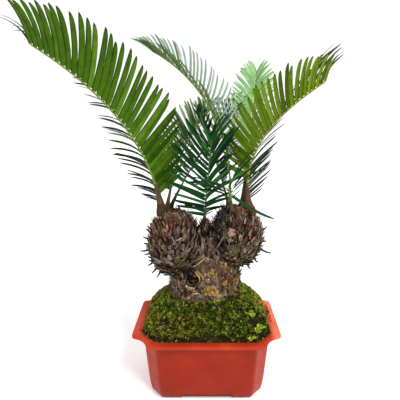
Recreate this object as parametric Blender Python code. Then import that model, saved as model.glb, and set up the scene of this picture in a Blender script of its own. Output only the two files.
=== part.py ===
"""Potted sago palm: a shallow plastic pot filled with soil under moss, a short swollen trunk that forks
into two scaly heads and a slender middle shoot, and the fronds that grow out of them.
Metres, +Z up, the floor is z = 0 and the camera side is -Y."""

import math
from collections import namedtuple

import bmesh
import bpy
from mathutils import Matrix, Vector, noise
from mathutils.bvhtree import BVHTree

UP = Vector((0, 0, 1))

# Gap that touching solids keep
CLEARANCE = 0.0003

# Pot: its centre on the floor, and each of its sections as height, half sizes, corner cut and hollow
POT_CENTRE = Vector((0.0288, -0.0112, 0.0))
RIM_HALF_X = 0.1034
RIM_HALF_Y = 0.0726
RIM_NOTCH = 0.0240
RIM_TOP = 0.0900
RIM_UNDERSIDE = 0.0846
RIM_ROUNDING = 0.0007
MOUTH_HALF_X = 0.0888
MOUTH_HALF_Y = 0.0618
MOUTH_CUT = 0.0205
WALL_TOP = 0.0800
WALL_HALF_X = 0.0812
WALL_HALF_Y = 0.0612
WALL_CUT = 0.0190
FLOOR_TOP = 0.0080
FLOOR_HALF_X = 0.0768
FLOOR_HALF_Y = 0.0564
FLOOR_CUT = 0.0160
BODY_HOLLOW = 0.12
FOOT_HEIGHT = 0.0045
FOOT_GAP_HALF_X = 0.0355
FOOT_GAP_HALF_Y = 0.0220
FOOT_GAP_REACH = 0.2000
CORNER_STEPS = 5

# Soil and moss: a pillow-shaped mound with a flat seat for the trunk
SOIL_GAP = 0.0008
MOUND_HEIGHT = 0.0447
MOUND_SHARES = (0.985, 0.955, 0.90, 0.80, 0.70)
MOUND_LUMP = 0.0044
MOUND_LUMPS_PER_METRE = 42.0
SEAT_RADIUS_X = 0.058
SEAT_RADIUS_Y = 0.049
SOIL_POINTS = 40

# Trunk
TRUNK_POINTS = 28
TRUNK_LUMP = 0.0024
TRUNK_LUMPS_PER_METRE = 55.0
TRUNK_FOOT = RIM_TOP - 0.0007 + MOUND_HEIGHT + CLEARANCE
CAVITY_CENTRE = Vector((-0.020, -0.046, 0.168))
CAVITY_RADIUS = 0.014
CAVITY_DEPTH = 0.011
TRUNK_TOP = 0.2200

# Heads: centre and half sizes, with rows of scales in a crossed pattern
LEFT_CENTRE = Vector((-0.0452, -0.003, 0.2075))
LEFT_HALF = Vector((0.0378, 0.0370, 0.0485))
RIGHT_CENTRE = Vector((0.0425, -0.003, 0.2170))
RIGHT_HALF = Vector((0.0380, 0.0355, 0.0445))
SCALE_COLUMNS = 22
SCALE_ROWS = 13
SCALE_RELIEF = 0.0032
SCALE_EDGE_DEGREES = 20
SHOOT_CENTRE = Vector((-0.002, -0.009, 0.2325))
SHOOT_HALF = Vector((0.0085, 0.0085, 0.0120))
SHOOT_COLUMNS = 10
SHOOT_ROWS = 8
SHOOT_RELIEF = 0.0010

# Fronds
RACHIS_SPANS = 11
SOCKET_DEPTH = 0.0060
SOCKET_REACH = 0.0200
PETIOLE_RADIUS = 0.0031
RACHIS_RADIUS = 0.0016
RACHIS_TIP_RADIUS = 0.0008
RIB_TAPER = 0.30
LEAF_THICKNESS = 0.0011
LEAF_LEAST_WIDTH = 0.0012
LEAF_GAP = 0.0004
LEAF_ROOT_WIDTH = 0.4
LEAF_ROOT_THICKNESS = 0.8
LEAF_CURL = math.radians(18)
LEAF_BEND_STEPS = 6

# base: where the stalk leaves its head, from the pot's centre; aim: azimuth and elevation in degrees at
# the stalk and at the tip; bend: 1 bends evenly and more bends early; roll: turn about its own rib, and
# opening: half the angle between its two rows, at the stalk and the tip; lean: angle from the rib to a
# leaflet at the stalk, half way and the tip; leaf and width: its longest leaflet; bare: share of the rib
# without leaflets
Frond = namedtuple("Frond", "name base aim_start aim_end length bend roll opening lean leaf width pairs bare")

FRONDS = [
    Frond("frond_left_front", (-0.0620, -0.0050, 0.2560), (218, 81), (218, 29), 0.253, 1.15,
          (60, 4), (50, 48), (76, 63, 42), 0.077, 0.0060, 42, 0.05),
    Frond("frond_right_front", (0.0600, -0.0080, 0.2595), (326, 109), (328, 33), 0.199, 1.68,
          (-62, 5), (50, 35), (84, 60, 40), 0.059, 0.0060, 36, 0.07),
    Frond("frond_left_back", (-0.0560, 0.0060, 0.2570), (62, 73), (60, 27), 0.192, 1.21,
          (0, 0), (46, 46), (76, 50, 26), 0.060, 0.0044, 33, 0.14),
    Frond("frond_long_back", (0.0315, 0.0060, 0.2560), (149, 98), (164, 28), 0.262, 1.05,
          (-10, -26), (50, 46), (70, 42, 16), 0.056, 0.0036, 36, 0.28),
    Frond("frond_middle", (-0.0034, -0.0120, 0.2400), (291, 78), (291, 76), 0.117, 1.0,
          (0, 0), (62, 62), (90, 50, 24), 0.066, 0.0054, 21, 0.10),
    Frond("frond_right_back", (0.0528, 0.0120, 0.2560), (76, 66), (76, 50), 0.236, 1.0,
          (0, 0), (62, 60), (64, 48, 26), 0.053, 0.0048, 28, 0.36),
    Frond("frond_left_inner", (-0.0520, 0.0140, 0.2560), (38, 60), (45, 38), 0.212, 1.77,
          (0, 0), (58, 58), (76, 54, 26), 0.052, 0.0046, 26, 0.20),
    Frond("frond_right_inner", (0.0330, 0.0160, 0.2560), (140, 72), (120, 50), 0.154, 1.0,
          (0, 0), (40, 40), (70, 48, 24), 0.032, 0.0040, 22, 0.24),
    Frond("frond_toward_front", (0.0365, -0.0200, 0.2535), (258, 52), (262, 12), 0.098, 1.0,
          (20, 20), (62, 62), (84, 62, 40), 0.060, 0.0034, 10, 0.40),
]
# One leaflet hangs across the right head: its frond, its share of the rib, its tip from the pot's centre
STRAY_FROND = "frond_toward_front"
STRAY_SHARE = 0.62
STRAY_TIP = Vector((0.0865, -0.0490, 0.2560))
STRAY_BOW = -0.0035
STRAY_WIDTH = 0.0050

# What a leaflet tries in turn where another is in its way: a share of its length and a lift in radians
LEAF_TRIES = ((1, 0), (1, -0.12), (1, 0.12), (1, 0.25), (0.75, 0), (0.75, -0.2), (0.55, 0))

# Share of the longest leaflet along the leafy part of the rib
LEAF_PROFILE = ((0.0, 0.28), (0.08, 0.60), (0.3, 0.96), (0.6, 0.98), (0.8, 0.89), (0.92, 0.76), (1.0, 0.62))

# Leaflets crowd at the stalk and a little at the tip: share of the rib by share of the count, as powers
LEAF_CROWDING = (0.42, 1.28, -0.70)

# Colours of the materials
TERRACOTTA = (0.62, 0.11, 0.06, 1.0)
MOSS_GREEN = (0.10, 0.17, 0.02, 1.0)
BARK_BROWN = (0.11, 0.075, 0.055, 1.0)
LEAF_GREEN = (0.06, 0.19, 0.02, 1.0)


def clear_scene():
    for thing in list(bpy.data.objects):
        bpy.data.objects.remove(thing)


def material(name, colour, roughness):
    made = bpy.data.materials.new(name)
    made.use_nodes = True
    shader = made.node_tree.nodes["Principled BSDF"]
    shader.inputs["Base Color"].default_value = colour
    shader.inputs["Roughness"].default_value = roughness
    made.diffuse_color = colour
    return made


def collection(name):
    made = bpy.data.collections.new(name)
    bpy.context.scene.collection.children.link(made)
    return made


def add_object(name, bm, group, finish=None):
    mesh = bpy.data.meshes.new(name)
    bmesh.ops.recalc_face_normals(bm, faces=bm.faces)
    bm.to_mesh(mesh)
    bm.free()
    thing = bpy.data.objects.new(name, mesh)
    group.objects.link(thing)
    if finish:
        mesh.materials.append(finish)
    return thing


def smooth(thing, degrees=50):
    thing.data.shade_smooth()
    thing.data.set_sharp_from_angle(angle=math.radians(degrees))


def hide_helper(thing):
    thing.hide_render = True
    thing.display_type = "WIRE"


def apply_boolean(thing, operation, cutter=None, group=None):
    """Cuts or joins, applies the result, and removes what it was made with."""
    modifier = thing.modifiers.new(operation, "BOOLEAN")
    modifier.operation = operation
    modifier.solver = "EXACT"
    if group:
        modifier.operand_type = "COLLECTION"
        modifier.collection = group
    else:
        modifier.object = cutter
    bpy.context.view_layer.update()
    done = bpy.data.meshes.new_from_object(thing.evaluated_get(bpy.context.evaluated_depsgraph_get()))
    thing.modifiers.clear()
    thing.data = done
    for used in list(group.objects) if group else [cutter]:
        bpy.data.objects.remove(used)
    if group:
        bpy.data.collections.remove(group)


def keep_largest_shell(thing):
    """Drops loose scraps and fills hollows that a union sealed: only the largest shell stays."""
    bm = bmesh.new()
    bm.from_mesh(thing.data)
    unseen = set(bm.verts)
    shells = []
    while unseen:
        front = [unseen.pop()]
        shell = list(front)
        while front:
            vert = front.pop()
            for edge in vert.link_edges:
                other = edge.other_vert(vert)
                if other in unseen:
                    unseen.remove(other)
                    front.append(other)
                    shell.append(other)
        shells.append(shell)
    shells.sort(key=len)
    scraps = [vert for shell in shells[:-1] for vert in shell]
    bmesh.ops.delete(bm, geom=scraps, context="VERTS")
    bmesh.ops.remove_doubles(bm, verts=bm.verts, dist=0.000001)
    bmesh.ops.triangulate(bm, faces=bm.faces)
    bm.to_mesh(thing.data)
    bm.free()


def loft(bm, rings):
    """Joins rings of equally many points into a tube with flat ends."""
    made = [[bm.verts.new(point) for point in ring] for ring in rings]
    for lower, upper in zip(made, made[1:]):
        for i in range(len(lower)):
            j = (i + 1) % len(lower)
            bm.faces.new((lower[i], lower[j], upper[j], upper[i]))
    bm.faces.new(list(reversed(made[0])))
    bm.faces.new(made[-1])


def direction(degrees):
    return Vector((math.cos(math.radians(degrees)), math.sin(math.radians(degrees)), 0))


def pot_section(height, half_x, half_y, cut, hollow):
    """A rectangle whose corners are cut straight (hollow 0) or scooped to a quarter circle (hollow 1)."""
    ring = []
    for corner_x, corner_y, start in ((1, 1, 270), (-1, 1, 0), (-1, -1, 90), (1, -1, 180)):
        corner = Vector((corner_x * half_x, corner_y * half_y, height))
        first = direction(start)
        last = direction(start - 90)
        for step in range(CORNER_STEPS + 1):
            straight = first.lerp(last, step / CORNER_STEPS)
            arc = direction(start - 90 * step / CORNER_STEPS)
            ring.append(POT_CENTRE + corner + cut * straight.lerp(arc, hollow))
    return ring


def make_pot(group, finish):
    """Its sections run from the foot up the outside to the rim, and down the inside to the floor."""
    outer_x = RIM_HALF_X
    outer_y = RIM_HALF_Y
    soft = RIM_ROUNDING
    sections = [
        (0.0000, 0.0758, 0.0588, 0.0150, BODY_HOLLOW),
        (0.0040, 0.0780, 0.0608, 0.0158, BODY_HOLLOW),
        (0.0120, 0.0798, 0.0626, 0.0168, BODY_HOLLOW),
        (0.0260, 0.0814, 0.0642, 0.0178, BODY_HOLLOW),
        (0.0805, 0.0856, 0.0672, 0.0190, BODY_HOLLOW),
        (RIM_UNDERSIDE - soft, outer_x - 2 * soft, outer_y - 2 * soft, RIM_NOTCH, 1.0),
        (RIM_UNDERSIDE, outer_x - soft / 2, outer_y - soft / 2, RIM_NOTCH, 1.0),
        (RIM_UNDERSIDE + soft, outer_x, outer_y, RIM_NOTCH, 1.0),
        (RIM_TOP - soft, outer_x, outer_y, RIM_NOTCH, 1.0),
        (RIM_TOP, outer_x - soft, outer_y - soft, RIM_NOTCH, 1.0),
        (RIM_TOP, MOUTH_HALF_X + soft, MOUTH_HALF_Y + soft, MOUTH_CUT, 0.0),
        (RIM_TOP - soft, MOUTH_HALF_X, MOUTH_HALF_Y, MOUTH_CUT, 0.0),
        (WALL_TOP, WALL_HALF_X, WALL_HALF_Y, WALL_CUT, 0.0),
        (FLOOR_TOP, FLOOR_HALF_X, FLOOR_HALF_Y, FLOOR_CUT, 0.0),
    ]
    bm = bmesh.new()
    loft(bm, [pot_section(*section) for section in sections])
    pot = add_object("pot", bm, group, finish)
    for half_x, half_y in ((FOOT_GAP_HALF_X, FOOT_GAP_REACH), (FOOT_GAP_REACH, FOOT_GAP_HALF_Y)):
        bm = bmesh.new()
        size = Matrix.Diagonal((2 * half_x, 2 * half_y, 2 * FOOT_HEIGHT, 1.0))
        bmesh.ops.create_cube(bm, size=1.0, matrix=Matrix.Translation(POT_CENTRE) @ size)
        cutter = add_object("foot_gap_cutter", bm, group)
        hide_helper(cutter)
        apply_boolean(pot, "DIFFERENCE", cutter)
    smooth(pot, 35)
    return pot


def cut_rectangle_radius(angle, half_x, half_y, cut):
    """Distance from the centre to the edge of a rectangle with straight-cut corners."""
    across = abs(math.cos(angle))
    along = abs(math.sin(angle))
    reaches = [(half_x + half_y - cut) / (across + along)]
    if across > 1e-9:
        reaches.append(half_x / across)
    if along > 1e-9:
        reaches.append(half_y / along)
    return min(reaches)


def soil_ring(height, half_x, half_y, cut):
    ring = []
    for i in range(SOIL_POINTS):
        angle = 2 * math.pi * i / SOIL_POINTS
        radius = cut_rectangle_radius(angle, half_x, half_y, cut)
        ring.append(POT_CENTRE + Vector((radius * math.cos(angle), radius * math.sin(angle), height)))
    return ring


def mound_ring(share, edge_height, half_x, half_y, cut):
    """One ring of the mound, at a share of the way from its middle to its edge."""
    rise = MOUND_HEIGHT * (1 - share ** 3) ** 0.55
    ring = soil_ring(edge_height + rise, half_x * share, half_y * share, cut * share)
    for point in ring:
        point.z += noise.noise(point * MOUND_LUMPS_PER_METRE) * MOUND_LUMP * math.sin(math.pi * share)
    return ring


def make_soil(group, finish):
    edge = RIM_TOP - RIM_ROUNDING
    half_x = MOUTH_HALF_X - SOIL_GAP
    half_y = MOUTH_HALF_Y - SOIL_GAP
    rings = [
        soil_ring(FLOOR_TOP + CLEARANCE, FLOOR_HALF_X - SOIL_GAP, FLOOR_HALF_Y - SOIL_GAP, FLOOR_CUT),
        soil_ring(WALL_TOP, WALL_HALF_X - SOIL_GAP, WALL_HALF_Y - SOIL_GAP, WALL_CUT),
        soil_ring(edge - SOIL_GAP / 2, half_x - SOIL_GAP / 2, half_y, MOUTH_CUT),
    ]
    for share in MOUND_SHARES:
        rings.append(mound_ring(share, edge, half_x, half_y, MOUTH_CUT))
    seat = []
    for i in range(SOIL_POINTS):
        angle = 2 * math.pi * i / SOIL_POINTS
        offset = Vector((SEAT_RADIUS_X * math.cos(angle), SEAT_RADIUS_Y * math.sin(angle), 0))
        seat.append(POT_CENTRE + offset + Vector((0, 0, TRUNK_FOOT - CLEARANCE)))
    rings.append(seat)
    bm = bmesh.new()
    loft(bm, rings)
    soil = add_object("soil_and_moss", bm, group, finish)
    smooth(soil)
    return soil


def trunk_rings(grow):
    """The trunk's rings, from its flat foot to its fork; grow widens a copy that cuts its neighbours.
    Each row is a height, half width, half depth and centre."""
    shape = [
        (TRUNK_FOOT, 0.0535, 0.0455, -0.003, -0.001),
        (0.1400, 0.0520, 0.0445, -0.003, -0.001),
        (0.1470, 0.0505, 0.0435, -0.003, -0.002),
        (0.1550, 0.0505, 0.0430, -0.002, -0.002),
        (0.1630, 0.0500, 0.0425, -0.001, -0.003),
        (0.1710, 0.0470, 0.0405, 0.000, -0.004),
        (0.1790, 0.0410, 0.0370, 0.001, -0.004),
        (0.1870, 0.0335, 0.0325, 0.002, -0.005),
        (0.1950, 0.0255, 0.0275, 0.002, -0.006),
        (0.2030, 0.0175, 0.0220, 0.001, -0.007),
        (0.2110, 0.0115, 0.0165, 0.000, -0.008),
        (TRUNK_TOP, 0.0080, 0.0110, -0.001, -0.009),
    ]
    rings = []
    for height, half_x, half_y, centre_x, centre_y in shape:
        ring = []
        for i in range(TRUNK_POINTS):
            angle = 2 * math.pi * i / TRUNK_POINTS
            out = Vector((math.cos(angle), math.sin(angle), 0))
            point = Vector((centre_x + half_x * out.x, centre_y + half_y * out.y, height))
            lump = noise.noise(point * TRUNK_LUMPS_PER_METRE) * TRUNK_LUMP
            if height in (TRUNK_FOOT, TRUNK_TOP):
                lump = 0.0
            dent = (point - CAVITY_CENTRE).length / CAVITY_RADIUS
            if dent < 1:
                lump -= CAVITY_DEPTH * (1 - dent * dent)
            ring.append(POT_CENTRE + point + out * (lump + grow))
        rings.append(ring)
    return rings


def make_trunk(group, finish):
    bm = bmesh.new()
    loft(bm, trunk_rings(0.0))
    trunk = add_object("trunk", bm, group, finish)
    smooth(trunk)
    return trunk


def trunk_cutter(group):
    """A slightly wider copy of the trunk, long enough at both ends to clear what it cuts."""
    bm = bmesh.new()
    rings = trunk_rings(2 * CLEARANCE)
    for point in rings[-1]:
        point.z += 2 * CLEARANCE
    loft(bm, rings)
    cutter = add_object("trunk_cutter", bm, group)
    hide_helper(cutter)
    return cutter


def scaly_bulb(bm, centre, half, columns, rows, relief, grow=0.0):
    """An egg shape whose points stand out and in by turns, in crossed rows, like overlapping scales."""
    rings = []
    for row in range(1, rows):
        tilt = math.pi * row / rows
        ring = []
        for column in range(columns):
            turn = 2 * math.pi * (column + 0.5 * (row % 2)) / columns
            flat = math.sin(tilt)
            out = Vector((flat * math.cos(turn), flat * math.sin(turn), -math.cos(tilt)))
            stand = relief * noise.noise(out * 6.0 + centre * 50.0)
            if (column + row // 2) % 2 == 0:
                stand += relief
            reach = Vector((half.x * out.x, half.y * out.y, half.z * out.z))
            ring.append(POT_CENTRE + centre + reach + out * (stand + grow))
        rings.append(ring)
    loft(bm, rings)


def make_shoot(group, finish):
    bm = bmesh.new()
    scaly_bulb(bm, SHOOT_CENTRE, SHOOT_HALF, SHOOT_COLUMNS, SHOOT_ROWS, SHOOT_RELIEF)
    shoot = add_object("middle_shoot", bm, group, finish)
    apply_boolean(shoot, "DIFFERENCE", trunk_cutter(group))
    keep_largest_shell(shoot)
    smooth(shoot)
    return shoot


def make_head(name, centre, half, group, finish):
    bm = bmesh.new()
    scaly_bulb(bm, centre, half, SCALE_COLUMNS, SCALE_ROWS, SCALE_RELIEF)
    head = add_object(name, bm, group, finish)
    apply_boolean(head, "DIFFERENCE", trunk_cutter(group))
    bm = bmesh.new()
    scaly_bulb(bm, SHOOT_CENTRE, SHOOT_HALF, SHOOT_COLUMNS, SHOOT_ROWS, SHOOT_RELIEF, 3 * CLEARANCE)
    cutter = add_object("shoot_cutter", bm, group)
    hide_helper(cutter)
    apply_boolean(head, "DIFFERENCE", cutter)
    keep_largest_shell(head)
    smooth(head, SCALE_EDGE_DEGREES)
    return head


def frond_frame(frond, share):
    """Directions at a share of the rib's length: along it, towards its upper side, and sideways."""
    weight = 1 - (1 - share) ** frond.bend
    azimuth = math.radians(frond.aim_start[0] + (frond.aim_end[0] - frond.aim_start[0]) * weight)
    elevation = math.radians(frond.aim_start[1] + (frond.aim_end[1] - frond.aim_start[1]) * weight)
    flat = Vector((math.cos(azimuth), math.sin(azimuth), 0))
    along = flat * math.cos(elevation) + Vector((0, 0, math.sin(elevation)))
    upper = Vector((0, 0, math.cos(elevation))) - flat * math.sin(elevation)
    return along, upper, along.cross(upper)


def rib_points(frond, steps):
    """The rib's middle line: it is walked in even steps whose direction turns from stalk to tip."""
    point = POT_CENTRE + Vector(frond.base)
    points = [point.copy()]
    for i in range(steps):
        along = frond_frame(frond, (i + 0.5) / steps)[0]
        point = point + along * (frond.length / steps)
        points.append(point.copy())
    return points


def rib_radius(share):
    if share < RIB_TAPER:
        return PETIOLE_RADIUS + (RACHIS_RADIUS - PETIOLE_RADIUS) * share / RIB_TAPER
    return RACHIS_RADIUS + (RACHIS_TIP_RADIUS - RACHIS_RADIUS) * (share - RIB_TAPER) / (1 - RIB_TAPER)


def tube_mesh(name, points, radii, group):
    """A tapering tube: a curve with filled caps, made a closed mesh."""
    curve = bpy.data.curves.new(name, "CURVE")
    curve.dimensions = "3D"
    curve.bevel_depth = 1.0
    curve.bevel_resolution = 0
    curve.use_fill_caps = True
    spline = curve.splines.new("POLY")
    spline.points.add(len(points) - 1)
    for spot, point, radius in zip(spline.points, points, radii):
        spot.co = (*point, 1.0)
        spot.radius = radius
    drawn = bpy.data.objects.new(name, curve)
    group.objects.link(drawn)
    bpy.context.view_layer.update()
    mesh = bpy.data.meshes.new_from_object(drawn.evaluated_get(bpy.context.evaluated_depsgraph_get()))
    bpy.data.objects.remove(drawn)
    bpy.data.curves.remove(curve)
    bm = bmesh.new()
    bm.from_mesh(mesh)
    bpy.data.meshes.remove(mesh)
    bmesh.ops.remove_doubles(bm, verts=bm.verts, dist=0.00001)
    return add_object(name, bm, group)


def make_rib(frond, group):
    """The stalk and rib of one frond, with its foot sunk into its head."""
    points = rib_points(frond, RACHIS_SPANS)
    radii = [rib_radius(i / RACHIS_SPANS) for i in range(len(points))]
    foot = points[0] - frond_frame(frond, 0.0)[0] * SOCKET_DEPTH
    return tube_mesh(frond.name, [foot] + points, [PETIOLE_RADIUS] + radii, group)


def cut_sockets(head, fronds, group):
    """Cuts the socket that each frond's foot stands in, with clearance all round."""
    for frond in fronds:
        along = frond_frame(frond, 0.0)[0]
        base = POT_CENTRE + Vector(frond.base)
        foot = base - along * (SOCKET_DEPTH + CLEARANCE)
        radius = PETIOLE_RADIUS + 2 * CLEARANCE
        ends = [foot, base + along * SOCKET_REACH]
        cutter = tube_mesh("socket_cutter", ends, [radius, radius], group)
        hide_helper(cutter)
        apply_boolean(head, "DIFFERENCE", cutter)
    keep_largest_shell(head)
    smooth(head, SCALE_EDGE_DEGREES)


def leaf_share(share):
    for (left, low), (right, high) in zip(LEAF_PROFILE, LEAF_PROFILE[1:]):
        if share <= right:
            return low + (high - low) * (share - left) / (right - left)
    return LEAF_PROFILE[-1][1]


def lean_angle(frond, share):
    first, middle, last = frond.lean
    if share < 0.5:
        degrees = first + (middle - first) * share / 0.5
    else:
        degrees = middle + (last - middle) * ((share - 0.5) / 0.5) ** 1.5
    return math.radians(degrees)


def leaf_place(count_share):
    first, second, third = LEAF_CROWDING
    return count_share * (first + count_share * (second + count_share * third))


def on_rib(path, rib_share):
    place = rib_share * RACHIS_SPANS
    span = min(int(place), RACHIS_SPANS - 1)
    return path[span].lerp(path[span + 1], place - span)


def leaf_line(frond, root, share, side, length, lift=0.0):
    """A leaflet's middle line from the rib, with the sideways direction of its blade at each point."""
    rib_share = frond.bare + (1 - frond.bare) * share
    along, upper, sideways = frond_frame(frond, rib_share)
    roll = math.radians(frond.roll[0] + (frond.roll[1] - frond.roll[0]) * share)
    up = upper * math.cos(roll) + sideways * math.sin(roll)
    across = sideways * math.cos(roll) - upper * math.sin(roll)
    spread = math.radians(frond.opening[0] + (frond.opening[1] - frond.opening[0]) * share) + lift
    outward = up * math.cos(spread) + across * (side * math.sin(spread))
    lean = lean_angle(frond, share)
    points = [root.copy()]
    for i in range(LEAF_BEND_STEPS):
        turn = lean - LEAF_CURL * ((i + 0.5) / LEAF_BEND_STEPS - 0.4)
        step = along * math.cos(turn) + outward * math.sin(turn)
        points.append(points[-1] + step * (length / LEAF_BEND_STEPS))
    blade = (along * math.sin(lean) - outward * math.cos(lean)).normalized()
    return points, blade, outward.cross(along) * side


def stray_line(root):
    """The middle line of the leaflet that hangs across the right head, with its blade's directions."""
    tip = POT_CENTRE + STRAY_TIP
    points = []
    for i in range(LEAF_BEND_STEPS + 1):
        share = i / LEAF_BEND_STEPS
        points.append(root.lerp(tip, share) + UP * (4 * STRAY_BOW * share * (1 - share)))
    along = (tip - root).normalized()
    blade = (along.cross(UP).normalized() * 0.6 + UP * 0.8).normalized()
    return points, blade, along.cross(blade).normalized()


def leaflet(bm, line, blade, face, width, thickness):
    """A thin three-sided blade: a narrow root, its full width below the middle, and a sharp tip."""
    middle = line[len(line) // 2]
    rings = []
    for point, wide, deep in ((line[0], LEAF_ROOT_WIDTH, LEAF_ROOT_THICKNESS), (middle, 1, 1)):
        edge = blade * (wide * width / 2)
        keel = face * (deep * thickness)
        rings.append([bm.verts.new(spot) for spot in (point + edge, point - edge, point - keel)])
    tip = bm.verts.new(line[-1])
    root, belly = rings
    for i in range(3):
        j = (i + 1) % 3
        bm.faces.new((root[i], root[j], belly[j], belly[i]))
        bm.faces.new((belly[i], belly[j], tip))
    bm.faces.new((root[2], root[1], root[0]))


def tree_of(thing):
    bm = bmesh.new()
    bm.from_mesh(thing.data)
    tree = BVHTree.FromBMesh(bm)
    bm.free()
    return tree


def leaf_is_clear(line, blade, face, width, obstacles):
    bm = bmesh.new()
    swollen = width + 3 * CLEARANCE
    lifted = [point + face * CLEARANCE for point in line]
    lifted[-1] = lifted[-1] + (line[-1] - line[-2]).normalized() * 4 * CLEARANCE
    leaflet(bm, lifted, blade, face, swollen, LEAF_THICKNESS + 3 * CLEARANCE)
    tree = BVHTree.FromBMesh(bm)
    bm.free()
    return not any(tree.overlap(other) for other in obstacles)


def make_frond(frond, rib, obstacles, finish):
    """Sets the leaflets of one frond on its rib, leaves out those that would touch, and joins them."""
    leaves = collection(frond.name + "_leaves")
    path = rib_points(frond, RACHIS_SPANS)
    loose = bmesh.new()
    for i in range(frond.pairs):
        share = leaf_place(i / (frond.pairs - 1))
        spacing = frond.length * (1 - frond.bare) * (leaf_place((i + 1) / (frond.pairs - 1)) - share)
        root = on_rib(path, frond.bare + (1 - frond.bare) * share)
        full = frond.leaf * leaf_share(share)
        room = spacing * math.sin(lean_angle(frond, share)) - LEAF_GAP
        width = max(LEAF_LEAST_WIDTH, min(frond.width, room))
        for side in (-1, 1):
            for reach, lift in LEAF_TRIES:
                line, blade, face = leaf_line(frond, root, share, side, full * reach, lift)
                if leaf_is_clear(line, blade, face, width, obstacles):
                    break
            else:
                continue
            bm = bmesh.new()
            leaflet(bm, line, blade, face, width, LEAF_THICKNESS)
            add_object(f"{frond.name}_leaf_{i}_{side}", bm, leaves)
            leaflet(loose, line, blade, face, width, LEAF_THICKNESS)
    if frond.name == STRAY_FROND:
        bm = bmesh.new()
        leaflet(bm, *stray_line(on_rib(path, STRAY_SHARE)), STRAY_WIDTH, LEAF_THICKNESS)
        add_object(f"{frond.name}_stray", bm, leaves)
    rib.data.materials.append(finish)
    apply_boolean(rib, "UNION", group=leaves)
    keep_largest_shell(rib)
    tree = BVHTree.FromBMesh(loose)
    loose.free()
    return tree


def carrier_of(frond):
    """The head that a frond grows from, by where its stalk stands."""
    if abs(frond.base[0]) < SHOOT_HALF.x:
        return "middle"
    return "left" if frond.base[0] < 0 else "right"


def main():
    clear_scene()
    group = collection("potted_sago_palm")
    helpers = collection("helpers")
    plastic = material("pot_plastic", TERRACOTTA, 0.45)
    moss = material("moss", MOSS_GREEN, 0.95)
    bark = material("bark", BARK_BROWN, 0.9)
    green = material("leaf", LEAF_GREEN, 0.45)
    make_pot(group, plastic)
    soil = make_soil(group, moss)
    trunk = make_trunk(group, bark)
    shoot = make_shoot(group, bark)
    left = make_head("left_head", LEFT_CENTRE, LEFT_HALF, group, bark)
    right = make_head("right_head", RIGHT_CENTRE, RIGHT_HALF, group, bark)
    carriers = {"left": left, "right": right, "middle": shoot}
    for side, head in carriers.items():
        cut_sockets(head, [frond for frond in FRONDS if carrier_of(frond) == side], helpers)
    ribs = {frond.name: make_rib(frond, group) for frond in FRONDS}
    solid = [tree_of(thing) for thing in (soil, trunk, shoot, left, right)]
    rib_trees = {name: tree_of(rib) for name, rib in ribs.items()}
    done = []
    for frond in FRONDS:
        others = [tree for name, tree in rib_trees.items() if name != frond.name]
        done.append(make_frond(frond, ribs[frond.name], solid + others + done, green))
    bpy.data.collections.remove(helpers)


main()
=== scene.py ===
"""Looks of the potted sago palm: a moulded plastic pot, moss over dark soil, a scaly trunk with two heads
and a middle shoot, and nine fronds of narrow leaflets. Metres, +Z up, the camera side is -Y."""

import math
from collections import namedtuple
from random import Random

import bmesh
import bpy
from mathutils import Matrix, Vector, noise


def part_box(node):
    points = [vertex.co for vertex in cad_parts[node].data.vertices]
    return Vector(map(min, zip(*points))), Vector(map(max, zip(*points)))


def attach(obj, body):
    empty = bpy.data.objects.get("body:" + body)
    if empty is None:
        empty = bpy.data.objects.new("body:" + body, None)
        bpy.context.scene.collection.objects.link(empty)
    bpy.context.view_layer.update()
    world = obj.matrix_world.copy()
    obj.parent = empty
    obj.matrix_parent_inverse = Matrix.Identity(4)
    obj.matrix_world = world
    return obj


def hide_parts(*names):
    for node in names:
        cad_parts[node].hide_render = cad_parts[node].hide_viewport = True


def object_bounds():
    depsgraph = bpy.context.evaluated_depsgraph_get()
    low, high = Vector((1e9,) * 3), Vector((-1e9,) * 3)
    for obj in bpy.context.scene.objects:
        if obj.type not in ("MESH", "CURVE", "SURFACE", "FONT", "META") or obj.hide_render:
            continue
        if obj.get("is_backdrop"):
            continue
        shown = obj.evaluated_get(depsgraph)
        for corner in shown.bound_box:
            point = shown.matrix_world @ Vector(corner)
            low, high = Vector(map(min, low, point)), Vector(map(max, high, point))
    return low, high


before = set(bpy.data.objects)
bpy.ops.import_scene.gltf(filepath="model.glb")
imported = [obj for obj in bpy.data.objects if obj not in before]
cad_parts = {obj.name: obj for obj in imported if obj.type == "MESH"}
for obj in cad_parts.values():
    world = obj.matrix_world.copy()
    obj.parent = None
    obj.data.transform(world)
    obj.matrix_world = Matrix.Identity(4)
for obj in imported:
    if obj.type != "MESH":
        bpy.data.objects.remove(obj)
CAD_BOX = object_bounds()

UP = Vector((0, 0, 1))
FULL_TURN = 2 * math.pi
GOLDEN_ANGLE = math.pi * (3 - math.sqrt(5))

# The pot's centre on the floor: every place below is measured from it
pot_low, pot_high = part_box("pot")
POT_CENTRE = Vector(((pot_low.x + pot_high.x) / 2, (pot_low.y + pot_high.y) / 2, 0))

# Camera: its place, its downward pitch and its field
CAMERA_PLACE = Vector((0, -0.4635, 0.3720))
CAMERA_PITCH = math.radians(12.4)
CAMERA_LENS = 30.6
CAMERA_SHIFT_X = -0.01625

# Studio: brightness of the room and of the backdrop, and suns as aim, strength and softness in degrees
AMBIENT = 0.45
BACKDROP = 1.05
FLOOR_GLOW = 0.22
SUNS = {"key": ((-0.60, 0.62, -1.0), 2.2, 22), "fill": ((0.9, 0.50, -0.55), 0.8, 60),
        "back": ((0.1, -0.8, -1.0), 0.9, 60)}

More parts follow.
